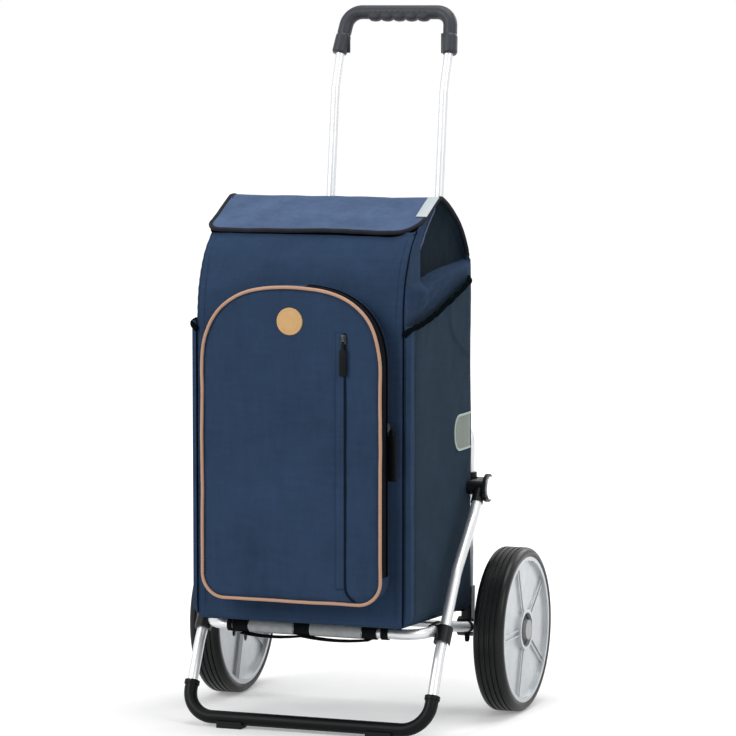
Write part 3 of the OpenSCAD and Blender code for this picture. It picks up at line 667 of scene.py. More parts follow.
def make_bag():
    """The bag's cloth from the middle of its floor up to its open mouth, with its lining."""
    cx, share, offset, nx, ny, seam = bag_columns().T

    def y_of(z):
        return front_y(z) * (1 - share) + BAG_BACK * share + offset

    top = bag_height(y_of)
    foot = bottom_z(y_of(BOTTOM_FRONT_Z))
    layers = []
    for v in np.linspace(0, 1, BAG_ROWS):
        z = foot + v * (top - foot)
        y = y_of(z)
        low = z - bottom_z(y)
        tuck = np.where(low < HEM, HEM - np.sqrt(np.maximum(HEM ** 2 - (HEM - low) ** 2, 0)), 0)
        push = bag_relief(cx, y, z, nx, ny, seam) * smooth(-1, 5, low) - tuck
        push = push * smooth(0, 3, top - z)
        layers.append(points_of(cx + nx * push, y + ny * push, z))
    rings = []
    for keep in np.linspace(0, 1, BAG_FLOOR_RINGS + 2)[1:-1]:
        y = BAG_MIDDLE_Y + (layers[0][:, 1] - BAG_MIDDLE_Y) * keep
        rings.append(points_of(layers[0][:, 0] * keep, y, bottom_z(y) + FLOOR_RISE * (1 - keep)))
    grid = np.array(rings + layers)
    total, cols = grid.shape[:2]

    y, z = np.moveaxis((grid[:-1] + grid[1:]) / 2, -1, 0)[1:]
    on_side = (np.abs(nx) > 0.9) & (np.arange(total - 1) >= len(rings))[:, None]
    # Faces along the front corner seam take the seam shadow: painted shade in its groove.
    dark = np.abs(seam + 0.35) < SEAM_HALF
    # Faces deep in the gusset's recess take the dark gusset cloth, darker as painted shade.
    deep = on_side & (gusset_depth(y, z) > 0.97)
    # Side and back faces take the greyer side cloth, darker as painted shade.
    plain = on_side & (y > PANEL_FRONT_Y) & (z < elastic_z(y)) | (ny > 0.5)
    finishes = [NAVY, SIDE_GREY_AND_SHADE, GUSSET_DARK_AND_SHADE, LINING, SEAM]
    chosen = [finishes.index(finish) for finish in (SEAM, GUSSET_DARK_AND_SHADE, SIDE_GREY_AND_SHADE)]
    slots = np.select([dark, deep, plain], chosen, finishes.index(NAVY)).ravel().tolist()

    centre = (0, BAG_MIDDLE_Y, bottom_z(BAG_MIDDLE_Y) + FLOOR_RISE)
    points = np.vstack([grid.reshape(-1, 3), centre])
    faces = grid_faces(total, cols, True)
    faces += [(total * cols, (j + 1) % cols, j) for j in range(cols)]
    slots += [finishes.index(NAVY)] * cols
    bag = mesh_object("bag_shell", points, faces, finishes, slots)
    thicken(bag, BAG_CLOTH)
    # The inner copies of the faces follow the outer ones, in the same order
    for face in bag.data.polygons[len(slots):2 * len(slots)]:
        face.material_index = finishes.index(LINING)
    soft(bag, "chassis", "navy_cloth", "bag_body")


def make_gussets():
    """Stretch cloth sunk between the lid and the side, dark of its own and darker still as painted shade, and
    the fold along its front edge in a painted highlight.
    """
    rows = 50
    y = np.linspace(-246, BAG_BACK - 2, 80)
    top = arch_z(y) - 4
    layers = []
    for v in np.linspace(0, 1, rows):
        z = GUSSET_LOW + v * (np.maximum(top, GUSSET_LOW + 1) - GUSSET_LOW)
        p = points_of(0, y, z)
        x = BAG_HALF - GUSSET_SINK + ripples(p, (60, 3, 11, 1.5), (24, 2, 13, 0.4))
        layers.append(points_of(x + 4 * smooth(top - 14, top, z), y, z))
    z = np.linspace(716, 784, 40)
    x = BAG_HALF - 0.2 - smooth(730, 716, z) * 2 - smooth(765, 785, z) * 1.5
    edge = points_of(x, gusset_front_y(z) - 2.5, z)
    faces = grid_faces(rows, len(y))
    for s, name in SIDES:
        sheet = mesh_object(f"gusset_cloth_dark_and_painted_shade_{name}", np.concatenate(layers) * (s, 1, 1),
                            faces if s > 0 else [f[::-1] for f in faces], [GUSSET_DARK_AND_SHADE])
        thicken(sheet, GUSSET_CLOTH)
        soft(sheet, "chassis", "navy_cloth")
        # The fold's light colour is a painted highlight.
        fold = sweep(f"gusset_fold_{name}", edge * (s, 1, 1), round_profile(1.8, 3.2, 0.8), (s, 0, 0),
                     FOLD_PAINTED_HIGHLIGHT)
        soft(fold, "chassis", "navy_cloth")


def make_corner_threads():
    """Row of stitches in the front, beside each corner seam."""
    z = np.linspace(BOTTOM_FRONT_Z + 12, MOUTH_Z - 8, 60)
    for s, name in SIDES:
        path = points_of(s * (BAG_HALF - 13), front_y(z) - 0.3, z)
        soft(stitches(f"front_stitch_{name}", path, (0, -1, 0.1), THREAD), "chassis", "navy_cloth")


# ---- Front pocket ----

ARCH_H = 128
ARCH_POWER = 0.78
LOW_CORNER = 36
ZIP_X = 84
WELT_LOW, WELT_HIGH = 206, 606
STITCH_IN = 3.4


def pocket_outline(inset, step=4.0):
    """Closed outline of the pocket in x and z, anticlockwise, at even steps."""
    half = POCKET_HALF - inset
    low = POCKET_LOW + inset
    corner = LOW_CORNER - inset
    a = np.radians(np.linspace(0, 180, 181))
    arch = points_of(half * np.sign(np.cos(a)) * np.abs(np.cos(a)) ** ARCH_POWER,
                     POCKET_TOP - ARCH_H + (ARCH_H - inset) * np.sin(a) ** ARCH_POWER)
    b = np.radians(np.linspace(180, 270, 24))
    left = points_of(-half + corner + corner * np.cos(b), low + corner + corner * np.sin(b))
    right = left[::-1] * (-1, 1)
    return resample(np.vstack([arch, left, right, arch[:1]]), step)[:-1]


def pocket_spine(outline):
    """Points on the pocket's upright middle line that its rings shrink to."""
    z = np.clip(outline[:, 1], POCKET_LOW + POCKET_HALF - 8, POCKET_TOP - ARCH_H + 10)
    return points_of(0, z)


def face_relief(x, z, edge):
    """Forward bulge of the pocket's face, where edge is the distance from the piping."""
    p = points_of(x, z, 0)
    crown = 3.2 * (1 - np.exp(-edge / 22)) - 1.4 * hump(edge, 3.5, 4)
    wave = ripples(p, (110, 3, 5, 1.3), (34, 2, 9, 0.4)) * smooth(0, 15, edge)
    pucker = uneven_wave((x + z) / 9.5, p, 45, 3, 4) * 0.35 * hump(edge, 9, 8)
    tall = uneven_wave(x / 17, p * (1, 0.3, 1), 60, 6, 2) * 0.35 * smooth(0, 40, edge)
    beside_zip = smooth(WELT_LOW, WELT_LOW + 16, z) * smooth(WELT_HIGH, WELT_HIGH - 8, z)
    return crown + wave + pucker + tall - 1.3 * hump(x - ZIP_X - 1.5, 0, 1.6) * beside_zip


def make_front_pocket():
    """Gusset in rings from the bag to the piping, then the face in rings towards the spine."""
    outline = pocket_outline(0)
    spine = pocket_spine(outline)
    turn = np.roll(outline, -1, axis=0) - np.roll(outline, 1, axis=0)
    normal = unit(points_of(turn[:, 1], -turn[:, 0]))
    face_y = POCKET_FACE + PIPING_R
    lean = np.where(outline[:, 1] > LEAN_Z, front_y(outline[:, 1]) - BAG_FRONT, 0)
    layers = []
    for t in np.linspace(0, 1, 9):
        y = BAG_FRONT + 1 + t * (face_y - BAG_FRONT - 1)
        uneven = ripple(np.c_[outline, np.full(len(outline), y)], 40, 2, 8) * 0.8
        bulge = (1.6 + uneven) * math.sin(math.pi * t) - 1.6
        layers.append(upright(outline + normal * bulge[:, None], y + lean * (1 - t)))
    reach = np.linalg.norm(outline - spine, axis=1)
    for share in np.linspace(0, 1, 34)[1:]:
        ring = outline + (spine - outline) * share
        edge = reach * share
        layers.append(upright(ring, face_y - face_relief(ring[:, 0], ring[:, 1], edge) * smooth(0, 3, edge)))
    faces = grid_faces(len(layers), len(outline), True)
    pocket = mesh_object("front_pocket_shell", np.concatenate(layers), faces, [NAVY])
    pocket.data.flip_normals()
    soft(pocket, "chassis", "navy_cloth", "front_pocket")


def make_piping():
    """Copper cord round the pocket's face, and the stitches beside it."""
    outline = pocket_outline(PIPING_R * 0.6, 3.0)
    flat = np.c_[outline, np.zeros(len(outline))]
    inward = unit(pocket_spine(outline) - outline)
    outline = outline + inward * (ripple(flat, 70, 2, 12) * 0.9 + 0.4)[:, None]
    path = upright(outline, POCKET_FACE + 1.2 + ripple(flat, 55, 2, 1) * 0.6)
    cord = sweep("pocket_piping_cord", path, circle_profile(PIPING_R, 12), (0, -1, 0), PIPING, True)
    soft(cord, "chassis", "copper_piping", "pocket_piping")
    beside = path + upright(inward * STITCH_IN, -0.7)
    soft(stitches("pocket_stitch", beside, (0, -1, 0), THREAD, 4.5), "chassis", "navy_cloth")


# Share of the badge's radius and height off the pocket's face, from its middle over the rim
BADGE_STEPS = ((0.01, 1.5), (0.3, 1.55), (0.6, 1.5), (0.76, 1.45), (0.8, 1.0), (0.84, 1.4), (0.93, 1.35),
               (0.975, 1.1), (1, 0.5), (1, -1.2))


def make_badge():
    """Plain leather disc with a pressed ring near its rim."""
    low, high = span("badge")
    front = POCKET_FACE + PIPING_R - 3.4
    ring = circle_profile(high.x, 64)
    points = [(u * share, front - lift, (low.z + high.z) / 2 + v * share)
              for share, lift in BADGE_STEPS for u, v in ring]
    faces = grid_faces(len(BADGE_STEPS), len(ring), True) + end_faces(len(BADGE_STEPS), len(ring))
    disc = outward(mesh_object("leather_badge", points, faces, [BADGE]))
    soft(disc, "chassis", "tan_badge", "badge")


def make_front_zip():
    """Welted zip: a folded flap of cloth over the teeth, ending in a curve towards the piping."""
    low, high = span("front_zip")
    x, bend_z = ZIP_X + 1, low.z + 14
    straight = points_of(x, np.linspace(high.z, bend_z, 70))
    turn = np.radians(np.linspace(0, 60, 12)[1:])
    bend = points_of(x + 30 * (1 - np.cos(turn)), bend_z - 26 * np.sin(turn))
    path = resample(upright(np.vstack([straight, bend]), POCKET_FACE + PIPING_R - 3.2), 3.0)
    teeth = sweep("front_zip_teeth", path, round_profile(3.2, 1.2, 0.5), (1, 0, 0), SEAM)
    soft(teeth, "chassis", "zip_tape", "front_zip")
    flap = path[path[:, 2] > low.z + 8] - (7.8, 0.25, 0)
    welt = sweep("front_zip_welt", flap, round_profile(13.5, 1.6, 0.8), (1, 0, 0), NAVY)
    soft(welt, "chassis", "navy_cloth")
    row = stitches("front_zip_stitch", flap + (-5.4, -0.7, 0), (0, -1, 0), SEAM, 3.6, 0.3)
    soft(row, "chassis", "navy_cloth")


def make_gusset_zip():
    """Zip tape and coil that follow the pocket's gusset from the top of the arch down its right side."""
    outline = pocket_outline(-0.3)
    line = outline[(outline[:, 0] > 20) & (outline[:, 1] > 243)]
    line = line[np.argsort(np.arctan2(line[:, 1] - 450, line[:, 0]))]
    path = upright(line, POCKET_FACE + 20)
    # The tape is drawn 25 mm wide: dark zip tape, and painted shade on the gusset wall beside the piping.
    tape = sweep("gusset_zip_tape", path - (0, 3.5, 0), round_profile(25, 1.2, 0.5), (0, 1, 0), ZIP_TAPE_AND_SHADE)
    soft(tape, "chassis", "zip_tape", "gusset_zip")
    normal = unit(points_of(np.gradient(line[:, 1]), -np.gradient(line[:, 0])))
    coil = sweep("gusset_zip_coil", path + upright(normal * 0.9, 0), round_profile(3.2, 1.6, 0.7),
                 (0, 1, 0), LIP_SHADE_AND_COIL)
    soft(coil, "chassis", "zip_tape")


def make_slider_body(name, centre, out, width):
    """Zip slider's body and its narrower nose, standing off the cloth along out."""
    depth = 3
    centre, out = Vector(centre), Vector(out)
    across = Vector((abs(out.y), abs(out.x), 0))
    bm = bmesh.new()
    for start, end, half, tall, radius in ((0, depth, width / 2, 7, 1.2),
                                           (depth - 0.4, depth + 1.6, width * 0.32, 5, 0.8)):
        reach = across * half + Vector((0, 0, tall))
        add_box(bm, centre + out * start - reach, centre + out * end + reach, radius)
    body = bm_object(f"{name}_slider_body", bm, SLIDER)
    soft(body, f"{name}_slider", "black_plastic", f"{name}_zip_slider")


def make_sliders():
    """Both zip sliders, each with a ribbed rubber puller."""
    low, high = span("front_zip_slider")
    x, face = (low.x + high.x) / 2, POCKET_FACE + PIPING_R - 3.4
    make_slider_body("front", (x, face, high.z - 7), (0, -1, 0), 7.5)
    bm = bmesh.new()
    add_box(bm, (x - 5.6, face - 5.2, low.z), (x + 5.6, face - 2.4, low.z + 38), 1.3)
    add_box(bm, (x - 2.4, face - 4.6, low.z + 36), (x + 2.4, face - 2.8, low.z + 51), 0.8)
    for k in range(5):
        z = low.z + 6 + 5 * k
        add_box(bm, (x - 4, face - 5.7, z), (x + 4, face - 5.0, z + 1.6), 0.3)
    soft(bm_object("front_slider_puller", bm, PULLER), "front_slider", "black_plastic")

    low, high = span("gusset_zip_slider")
    x, y = low.x, (low.y + high.y) / 2
    make_slider_body("gusset", (x, y, high.z - 7), (1, 0, 0), 8)
    bm = bmesh.new()
    turned = (Matrix.Rotation(math.radians(-18), 3, "Z"), (x + 2, y, high.z - 12))
    add_box(bm, (x + 1, y - 2.2, low.z), (x + 17, y + 1.2, high.z - 18), 1.5, *turned)
    add_box(bm, (x + 3, y - 1.6, high.z - 20), (x + 11, y + 0.8, high.z - 9), 1.0, *turned)
    for k in range(11):
        z = low.z + 6 + 5 * k
        add_box(bm, (x + 3, y - 2.8, z), (x + 15, y - 2.0, z + 1.6), 0.3, *turned)
    soft(bm_object("gusset_slider_puller", bm, PULLER), "gusset_slider", "black_plastic")


# ---- Side pockets ----

SIDE_FRONT_Y = BAG_FRONT + 0.8
SIDE_STEP_Y = BAG_FRONT + 21
SIDE_LIFT = 8
ELASTIC_WIDE = 8
ELASTIC_THICK = 4.6

# Curved fold in the side pocket's rear upper corner, by depth and height
side_fold_z = curve_through([(-140, 640), (-133, 615), (-127, 598), (-108, 578), (-67, 556), (-32, 543),
                             (0, 536)])


def side_sheet_x(y, z):
    """Outer face of the side pocket: a wall at the front, a loose flat panel, and a slope behind."""
    p = points_of(y, z, 0)
    low = z - bottom_z(y)
    shape = smooth(SIDE_FRONT_Y - 1, SIDE_FRONT_Y + 3.4, y) * smooth(SIDE_REAR_Y + 4, SIDE_REAR_Y - 8, y)
    shape = shape * (0.35 + 0.65 * smooth(SIDE_LIFT - 4, SIDE_LIFT + 14, low))
    loose = smooth(0, 40, low) * smooth(0, 30, y - SIDE_FRONT_Y) * smooth(0, 25, SIDE_REAR_Y - y)
    relief = ripples(p, (120, 3, 15, 1.4), (36, 2, 17, 0.45))
    relief += uneven_wave(y / 7.5, p, 60, 18, 3) * 0.7 * np.exp(-np.abs(elastic_z(y) - z - 10) / 22)
    behind_leg = hump((z - 374) - (y + 45) * 1.1, 0, 8)
    relief += 1.8 * behind_leg * smooth(330, 350, z) * smooth(420, 395, z)
    above_fold = z - side_fold_z(y)
    relief += (1.5 * hump(above_fold, 0, 3) + 1.4 * smooth(-3, 5, above_fold)) * smooth(-140, -122, y)
    out = (SIDE_OUT - BAG_HALF) * shape + loose * relief
    out -= 0.9 * hump(y, SIDE_STEP_Y + 3, 9) * smooth(0, 60, low)
    out += 1.4 * hump(y, -40, 15) * smooth(572, 590, z) * smooth(640, 612, z)
    return BAG_HALF + 0.4 + out - 0.5 * hump(y, SIDE_STEP_Y, 1.6) * smooth(0, 20, low)


def make_side_sheet(s, name):
    """Cloth of the side pocket: navy in front of its step, and behind it the plainer, greyer side cloth,
    darker as painted shade.
    """
    rows = 120
    y = in_stretches(SIDE_FRONT_Y, (SIDE_FRONT_Y + 4, 10), (SIDE_STEP_Y, 8), (SIDE_REAR_Y, 63))
    low = bottom_z(y) + SIDE_LIFT
    layers = []
    for v in np.linspace(0, 1, rows):
        z = low + v * (elastic_z(y) - 3 - low)
        layers.append(points_of(s * side_sheet_x(y, z), y, z))
    faces = grid_faces(rows, len(y))
    if s > 0:
        faces = [f[::-1] for f in faces]
    slots = np.tile(y[:-1] >= SIDE_STEP_Y - 1, rows - 1).astype(int).tolist()
    sheet = mesh_object(f"side_pocket_cloth_{name}", np.concatenate(layers), faces, [NAVY, SIDE_GREY_AND_SHADE], slots)
    sheet.data.flip_normals()
    thicken(sheet, SIDE_CLOTH)
    soft(sheet, "chassis", "slate_cloth", f"side_pocket_{name}")


def make_elastic(s, name):
    """Gathered black edge of the side pocket, from the bag's front corner to its rear."""
    corner = np.array([(BAG_HALF - 1.5, BAG_FRONT + 0.2, 595), (BAG_HALF + 2, BAG_FRONT + 0.2, 598),
                       (BAG_HALF + 5.5, BAG_FRONT + 0.8, 601.5)])
    y = np.linspace(SIDE_FRONT_Y + 3, SIDE_REAR_Y + 1, 120)
    z = elastic_z(y) - 6 + 0.5 * smooth(-290, -240, y)
    path = resample(np.vstack([corner, points_of(side_sheet_x(y, z) + 1.1, y, z)]), 2.2)
    gather = uneven_wave(np.arange(len(path)) / 2.1, path, 40, 25, 4)
    path[:, 0] += 0.5 * gather + 0.3
    path[:, 2] += 0.7 * gather
    shape = changing_profile(0.42, ELASTIC_THICK, ELASTIC_WIDE + np.roll(gather, 2))
    turn = -1.5 * smooth(SIDE_FRONT_Y + 6, SIDE_FRONT_Y, path[:, 1])
    side = points_of(s, turn, 0)
    edge = sweep(f"pocket_elastic_{name}", path * (s, 1, 1), shape, side, ELASTIC)
    soft(edge, "chassis", "black_webbing", f"pocket_edge_{name}")


def reflector_outline(front, rear, middle, half, inset):
    """Patch with a rounded front end, as points in y and z, from the rear top corner round."""
    corner = half * 0.93
    r = corner - inset
    a = np.radians(np.linspace(90, 180, 10))
    upper = points_of(front + corner + r * np.cos(a), middle + half - corner + r * np.sin(a))
    lower = points_of(upper[::-1, 0], 2 * middle - upper[::-1, 1])
    return np.vstack([[(rear, middle + half - inset)], upper, lower, [(rear, middle - half + inset)]])


def make_reflector(s, name):
    """Reflecting patch at the side pocket's rear, with a bright trim just inside its edge."""
    low, high = span(f"reflector_{name}")
    middle = (low.z + high.z) / 2 + 4
    patch_sizes = (low.y, high.y - 1, middle, (high.z - low.z) / 2 - 2.5)

    def on_side(outline, lift):
        y, z = outline.T
        return points_of(s * (side_sheet_x(y, z) + lift), y, z)

    outline = resample(reflector_outline(*patch_sizes, 0), 3)
    centre = np.array([(low.y + high.y) / 2, middle])
    layers = [on_side(outline, -0.3), on_side(outline, 0.5)]
    layers += [on_side(centre + (outline - centre) * share, 0.8) for share in (0.97, 0.8, 0.55, 0.3, 0.02)]
    faces = grid_faces(len(layers), len(outline), True)
    patch = mesh_object(f"reflector_patch_{name}", np.concatenate(layers), faces, [REFLEX])
    if s < 0:
        patch.data.flip_normals()
    soft(patch, "chassis", "reflex_film", f"reflector_{name}")
    rim = on_side(resample(reflector_outline(*patch_sizes, 1.6), 3), 1.0)
    trim = sweep(f"reflector_trim_{name}", rim, round_profile(1.0, 3.4, 0.45), (s, 0, 0), REFLEX_TRIM)
    soft(trim, "chassis", "reflex_film")


def make_side_stitches(s, name):
    """Row of stitches beside the step at the side pocket's front."""
    z = np.linspace(BOTTOM_FRONT_Z + 20, elastic_z(SIDE_STEP_Y) - 16, 60)
    y = np.full(60, SIDE_STEP_Y + 5)
    seam = points_of(s * (side_sheet_x(y, z) + 0.1), y, z)
    soft(stitches(f"side_stitch_{name}", seam, (s, 0, 0), THREAD), "chassis", "slate_cloth")


def make_side_pockets():
    for s, name in SIDES:
        make_side_sheet(s, name)
        make_elastic(s, name)
        make_reflector(s, name)
        make_side_stitches(s, name)


# ---- Lid ----

LID_FRONT_Y = MOUTH_Y - 6
LID_CORNERS = {-1: 17, 1: 43}
LID_LIFT = LID_CLOTH * 0.6
BINDING_WIDE = 6.2
STRIP_WIDE = 17
HINGE_TAPE_WIDE = 19
HINGE_Y = BAG_BACK + 3


def lid_line():
    """The lid's line in y and z, just above the bag's arch, from its front edge to the hinge."""
    line = resample(np.vstack([(LID_FRONT_Y, MOUTH_Z + 1.5), (RIDGE_Y - 6, RIDGE_Z - 1), fall]), 4.0)
    closer = np.linspace(0, 1, 13)[:-1, None] ** 1.8
    return np.vstack([line[0] + (line[5] - line[0]) * closer, line[5:]])


def lid_half(y, s):
    """Half width of the lid at a depth on one side, with its rounded front corner."""
    corner = LID_CORNERS[s]
    into = np.clip(corner - (y - LID_FRONT_Y), 0, corner)
    wider = 3 * smooth(-60, -140, y) if s < 0 else 0
    narrower = 2 * smooth(-150, -60, y) + 1.5 * smooth(-60, -10, y)
    narrower += 16 * smooth(BAG_BACK - 6, BAG_BACK - 1, y)
    return LID_HALF + wider - narrower - corner + np.sqrt(np.maximum(corner ** 2 - into ** 2, 0))


def lid_points(line, normal, x_share, lift):
    """Points of the lid's sheet: a share of its width, raised by lift along its own normal."""
    y, z = line.T
    x = lid_half(y, 1 if x_share > 0 else -1) * x_share
    p = points_of(x, y, z)
    sag = -1.6 * (1 - x_share ** 2) * hump(y, RIDGE_Y, 60)
    wave = ripples(p, (90, 3, 21, 1.5), (30, 2, 23, 0.5)) * smooth(0, 30, HINGE_Y - y)
    edge = hump(y, LID_FRONT_Y, 14) * np.sin(x / 38 + 0.8) * 0.8
    rise_by = lift + sag + wave + edge
    return points_of(x, y + normal[:, 0] * rise_by, z + normal[:, 1] * rise_by)


def make_lid():
    """Lid's cloth, the bag's navy written lighter as painted light from above, with its binding, lip and
    reflecting strip.
    """
    line = lid_line()
    along = unit(np.gradient(line, axis=0))
    normal = points_of(-along[:, 1], along[:, 0])
    columns = np.stack([lid_points(line, normal, s, LID_LIFT) for s in np.linspace(-1, 1, 69)], axis=1)
    lid = mesh_object("lid_flap", columns.reshape(-1, 3), grid_faces(*columns.shape[:2]), [FLAP_PAINTED_LIGHT, LINING])
    thicken(lid, LID_CLOTH, 1)
    soft(lid, "lid", "lid_cloth", "lid")
    make_lid_edge(columns, normal)
    make_lid_strip(line, normal)


def make_lid_edge(columns, normal):
    """Binding round the lid's free edges, and the lip that hangs from it at the front, near black as painted
    shade under the binding.
    """
    out = np.c_[np.zeros(len(normal)), normal]
    rim = np.vstack([columns[::-1, 0], columns[0, 1:-1], columns[:, -1]])
    out = np.vstack([out[::-1], np.tile(out[0], (columns.shape[1] - 2, 1)), out])
    even = resample(np.c_[rim, out], 3.0)
    rim, out = even[:, :3], unit(even[:, 3:])
    inward = unit(np.array([0, (LID_FRONT_Y + HINGE_Y) / 2 - 20, RIDGE_Z - 20]) - rim)
    inward = unit(inward - out * np.sum(inward * out, axis=1, keepdims=True))
    path = rim - out * (LID_CLOTH * 0.5) + inward * (BINDING_WIDE / 2 - 1.4)
    tape = sweep("lid_binding_tape", path, round_profile(LID_CLOTH + 2.8, BINDING_WIDE, 2.2), out, BINDING)
    soft(tape, "lid", "black_webbing", "lid_binding")

    front = (rim[:, 1] < LID_FRONT_Y + 30) & (rim[:, 2] < MOUTH_Z + 34)
    hang = path[front] - out[front] * 1.5 + (0, 1.2, -4.6)
    from_end = np.minimum(np.arange(len(hang)), np.arange(len(hang))[::-1])
    shape = changing_profile(0.3, 6.6 * smooth(-2, 12, from_end), 2.4)
    soft(sweep("lid_lip", hang, shape, (0, -0.35, 1), LIP_SHADE_AND_COIL), "lid", "black_webbing")


def make_lid_strip(line, normal):
    """Reflecting strip on the lid's right edge, from the rounded corner to the ridge."""
    keep = (line[:, 0] > span("lid_strip")[0].y + 9) & (line[:, 0] < RIDGE_Y - 2)
    share = 1 - (STRIP_WIDE / 2 - 0.4) / LID_HALF
    path = resample(lid_points(line[keep], normal[keep], share, LID_LIFT + 1.3), 3.0)
    out = np.r_[0, normal[keep].mean(axis=0)]
    strip = sweep("lid_reflex_strip", path, round_profile(1.4, STRIP_WIDE, 0.6), out, STRIP)
    soft(strip, "lid", "reflex_film", "lid_strip")


def make_hinge_tape():
    """Woven tape across the bag's back, just under the line that the lid is sewn along."""
    x = np.linspace(-BAG_HALF + 5, BAG_HALF - 5, 90)
    z = SHOULDER_Z - HINGE_TAPE_WIDE / 2 + 0.6 * np.sin(x / 41)
    path = points_of(x, BAG_BACK + 1.6 + 0.4 * np.sin(x / 23), z)
    tape = sweep("lid_hinge_tape", path, round_profile(HINGE_TAPE_WIDE, 2.2, 1.0), (0, 0.12, 1), BINDING)
    soft(tape, "chassis", "black_webbing")
    for k, rise_by in enumerate((-6.5, 6.5)):
        row = stitches(f"hinge_stitch_{k}", path + (0, 1.1, rise_by), (0, 1, 0), THREAD)
        soft(row, "chassis", "navy_cloth")


# ---- Grip ----

GRIP_R = 11.6
GRIP_CAD_R = 11.75
GRIP_BEND = 24
GRIP_LEG = 64
COLLAR = 31
BUMP_COUNT = 5
BUMP_PITCH = 20


def bent_path(points, radius, step):
    """Path through points with round bends of the given radius."""
    points = np.asarray(points, float)
    path = [points[0]]
    for a, p, b in zip(points[:-2], points[1:-1], points[2:]):
        u, w = unit(a - p), unit(b - p)
        half = math.acos(float(np.clip(np.dot(u, w), -1, 1))) / 2
        reach = radius / math.tan(half)
        centre = p + unit(u + w) * radius / math.sin(half)
        start, end = p + u * reach, p + w * reach
        for t in np.linspace(0, 1, 14):
            d = unit((1 - t) * unit(start - centre) + t * unit(end - centre))
            path.append(centre + d * radius)
    path.append(points[-1])
    return resample(np.array(path), step)


def grip_radii(path):
    """Radius round the grip at every path point: collars, and the finger bumps under the bar."""
    length = np.r_[0, np.cumsum(np.linalg.norm(np.diff(path, axis=0), axis=1))]
    from_end = np.minimum(length, length[-1] - length)
    r = GRIP_R - 0.7 + 0.9 * smooth(COLLAR, COLLAR - 3, from_end)
    r -= 1.6 * smooth(3, 0, from_end) + 0.7 * hump(from_end, COLLAR + 1, 1.2)
    x = path[:, 0]
    off_middle = x - np.round(x / BUMP_PITCH) * BUMP_PITCH
    bump = 4.4 * np.sqrt(np.maximum(0, 1 - (off_middle / (BUMP_PITCH / 2)) ** 2)) - 0.6
    bar_half = BUMP_PITCH * BUMP_COUNT / 2
    bump *= smooth(bar_half + 1, bar_half - 3, np.abs(x))
    down = -circle_profile(1, 40)[:, 0]
    return r[:, None] + bump[:, None] * smooth(0.15, 0.8, down)


def make_grip():
    """Moulded arch between the handle tubes, with its inner ribs and rows of nubs."""
    low, high = span("handle_grip")
    top_y, top_z = high.y - GRIP_CAD_R, high.z - GRIP_CAD_R
    foot_y, foot_z = low.y + (GRIP_R + 0.15) * 0.93, top_z - GRIP_LEG
    gap = high.x - low.x - 4 - 2 * GRIP_CAD_R
    foot_x, top_x = gap / 2 + 2, gap / 2 - 5.5
    path = bent_path([(-foot_x, foot_y, foot_z), (-top_x, top_y, top_z), (top_x, top_y, top_z),
                      (foot_x, foot_y, foot_z)], GRIP_BEND, 1.6)
    turn = smooth(top_x - GRIP_BEND, top_x + 2, np.abs(path[:, 0])) * math.pi / 2
    side = points_of(np.sign(path[:, 0]) * np.sin(turn), 0, np.cos(turn))
    grip = sweep("moulded_grip", path, circle_profile(grip_radii(path), 40), side, GRIP)
    rigid(grip, "chassis", "grip_plastic", "handle_grip")

    bm = bmesh.new()
    y = foot_y + 6
    for s in (-1, 1):
        add_box(bm, (s * (foot_x - GRIP_R + 1), y - 1.6, foot_z + 1),
                (s * (foot_x - GRIP_R - 4.5), y + 1.6, foot_z + 32), 1.2)
    for k in range(-5, 6):
        for row in (0, 1):
            tilt = 0.15 - row * 0.42
            add_nub(bm, k * 9 + row * 4.5, top_y, top_z, tilt)
    rigid(bm_object("grip_details", bm, GRIP), "chassis", "grip_plastic")


def add_nub(bm, x, bar_y, bar_z, tilt):
    """Small flat nub on the front of the grip's bar, at a tilt from level."""
    back = Matrix.Rotation(-tilt, 3, "X")
    reach = GRIP_R - 0.9
    for v in bmesh.ops.create_uvsphere(bm, u_segments=12, v_segments=8, radius=1)["verts"]:
        v.co = back @ Vector((v.co.x * 2.6, v.co.y * 0.7, v.co.z * 1.2))
        v.co += Vector((x, bar_y - reach * math.cos(tilt), bar_z + reach * math.sin(tilt)))


# ---- CAD nodes that keep their shape ----

def both(*names):
    """The left and the right node of every name."""
    return [f"{name}_{side}" for name in names for _, side in SIDES]


KEPT = {
    TUBE: both("handle_tube") + ["stand_tube", "shelf_tube"],
    AXLE_STEEL: ["axle"],
    CAP: both("pivot_cap"),
    FOOT: ["foot_cover"],
    PLASTIC: both("axle_bracket", "pivot_bracket", "leg_socket", "pivot_disc", "shelf_eye", "leg_clip",
                  "hub"),
    HUB_CAP: both("hub_cap"),
    PAD: both("foot_pad"),
    WEBBING: both("bag_hanger", "arm_hook", "strap_outer", "strap_inner") + ["strap_middle", "shelf_band"],
    SLEEVE: both("sleeve"),
    TYRE: both("tyre"),
    RIM: both("rim"),
}


def finish_kept_nodes():
    """Gives every CAD node that stays in sight its material."""
    for finish, names in KEPT.items():
        for name in names:
            materials = nodes[name].data.materials
            materials.clear()
            materials.append(finish)


# ---- Studio: lengths in metres, the camera's lens and sensor in millimetres, angles in degrees ----

FLOOR_SIZE = 120
CAMERA_AZIMUTH = 20.34
CAMERA_ELEVATION = 5.5
CAMERA_DISTANCE = 5.822
CAMERA_TARGET = Vector((0, 0.0891, 0.5177))
CAMERA_LENS = 185.9
SENSOR_WIDTH = 36
LIGHT_TARGET = Vector((0, 0, 0.5))
# Place, size and power in watts of each lamp
LAMPS = {
    "key": ((-2.6, -3.6, 2.8), (2.4, 2.4), 130),
    "fill": ((3.4, -1.6, 2.6), (1.6, 1.6), 38),
    "top": ((0.3, 0.2, 3.6), (2.0, 2.0), 60),
    "rear": ((1.5, 3.6, 2.4), (2.4, 2.0), 50),
}


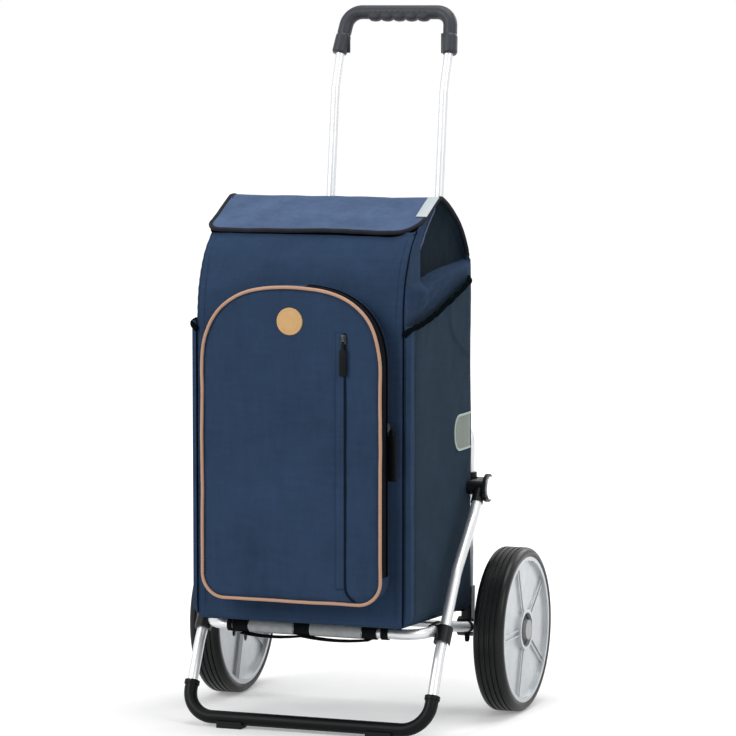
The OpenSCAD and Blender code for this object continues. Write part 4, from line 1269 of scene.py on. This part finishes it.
def seen(shading, *rays):
    """1 for the camera's rays and those of the other kinds named, and 0 for light on the object."""
    outputs = shading.node("ShaderNodeLightPath").outputs
    value = outputs["Is Camera Ray"]
    for ray in rays:
        value = shading.maths("MAXIMUM", value, outputs[ray])
    return value


def make_floor():
    """Pale ground that takes soft shadows, and turns white away from the trolley."""
    bpy.ops.mesh.primitive_plane_add(size=FLOOR_SIZE, location=(0, 0, -0.0004))
    floor = bpy.context.object
    floor.name = "studio_floor"
    material = bpy.data.materials.new("studio_floor")
    f = Shading(material)
    place = f.node("ShaderNodeNewGeometry").outputs["Position"]
    away = f.node("ShaderNodeVectorMath", {0: place}, operation="LENGTH").outputs["Value"]
    white = f.spread(away, 0.25, 0.75, 0.4, 2.6)
    glow = f.node("ShaderNodeEmission", {"Strength": f.times(seen(f, "Is Glossy Ray"), white)})
    ground = f.node("ShaderNodeBsdfDiffuse", {"Color": (0.8, 0.8, 0.8, 1)})
    mixed = f.node("ShaderNodeAddShader", {0: ground.outputs[0], 1: glow.outputs[0]})
    f.node("ShaderNodeOutputMaterial", {"Surface": mixed.outputs[0]})
    floor.data.materials.append(material)


def make_world():
    """White to the camera and in reflections, and a softer even light on the object."""
    scene.world = bpy.data.worlds.new("studio")
    f = Shading(scene.world)
    level = f.spread(seen(f, "Is Glossy Ray", "Is Transmission Ray"), 0.4, 1.0)
    sky = f.node("ShaderNodeBackground", {"Color": (1, 1, 1, 1), "Strength": level})
    f.node("ShaderNodeOutputWorld", {"Surface": sky.outputs[0]})


def make_lights():
    """Area lamps round the trolley, all aimed at its middle."""
    for name, (place, size, power) in LAMPS.items():
        lamp = bpy.data.lights.new(name, "AREA")
        lamp.shape = "RECTANGLE"
        lamp.size, lamp.size_y = size
        lamp.energy = power
        obj = bpy.data.objects.new(name, lamp)
        obj.location = place
        obj.rotation_euler = (LIGHT_TARGET - Vector(place)).to_track_quat("-Z", "Y").to_euler()
        scene.collection.objects.link(obj)


def make_camera():
    """Camera where the photo's was, as fitted to it."""
    data = bpy.data.cameras.new("camera")
    data.lens = CAMERA_LENS
    data.sensor_width = SENSOR_WIDTH
    data.clip_end = 200
    camera = bpy.data.objects.new("camera", data)
    a, e = math.radians(CAMERA_AZIMUTH), math.radians(CAMERA_ELEVATION)
    back = Vector((math.sin(a) * math.cos(e), -math.cos(a) * math.cos(e), math.sin(e)))
    camera.location = CAMERA_TARGET + back * CAMERA_DISTANCE
    camera.rotation_mode = "QUATERNION"
    camera.rotation_quaternion = (-back).to_track_quat("-Z", "Y")
    scene.collection.objects.link(camera)
    scene.camera = camera


make_camera()
make_bag()
make_gussets()
make_corner_threads()
make_front_pocket()
make_piping()
make_badge()
make_front_zip()
make_gusset_zip()
make_sliders()
make_side_pockets()
make_lid()
make_hinge_tape()
make_grip()
finish_kept_nodes()
make_floor()
make_world()
make_lights()

scene.view_settings.view_transform = "Standard"
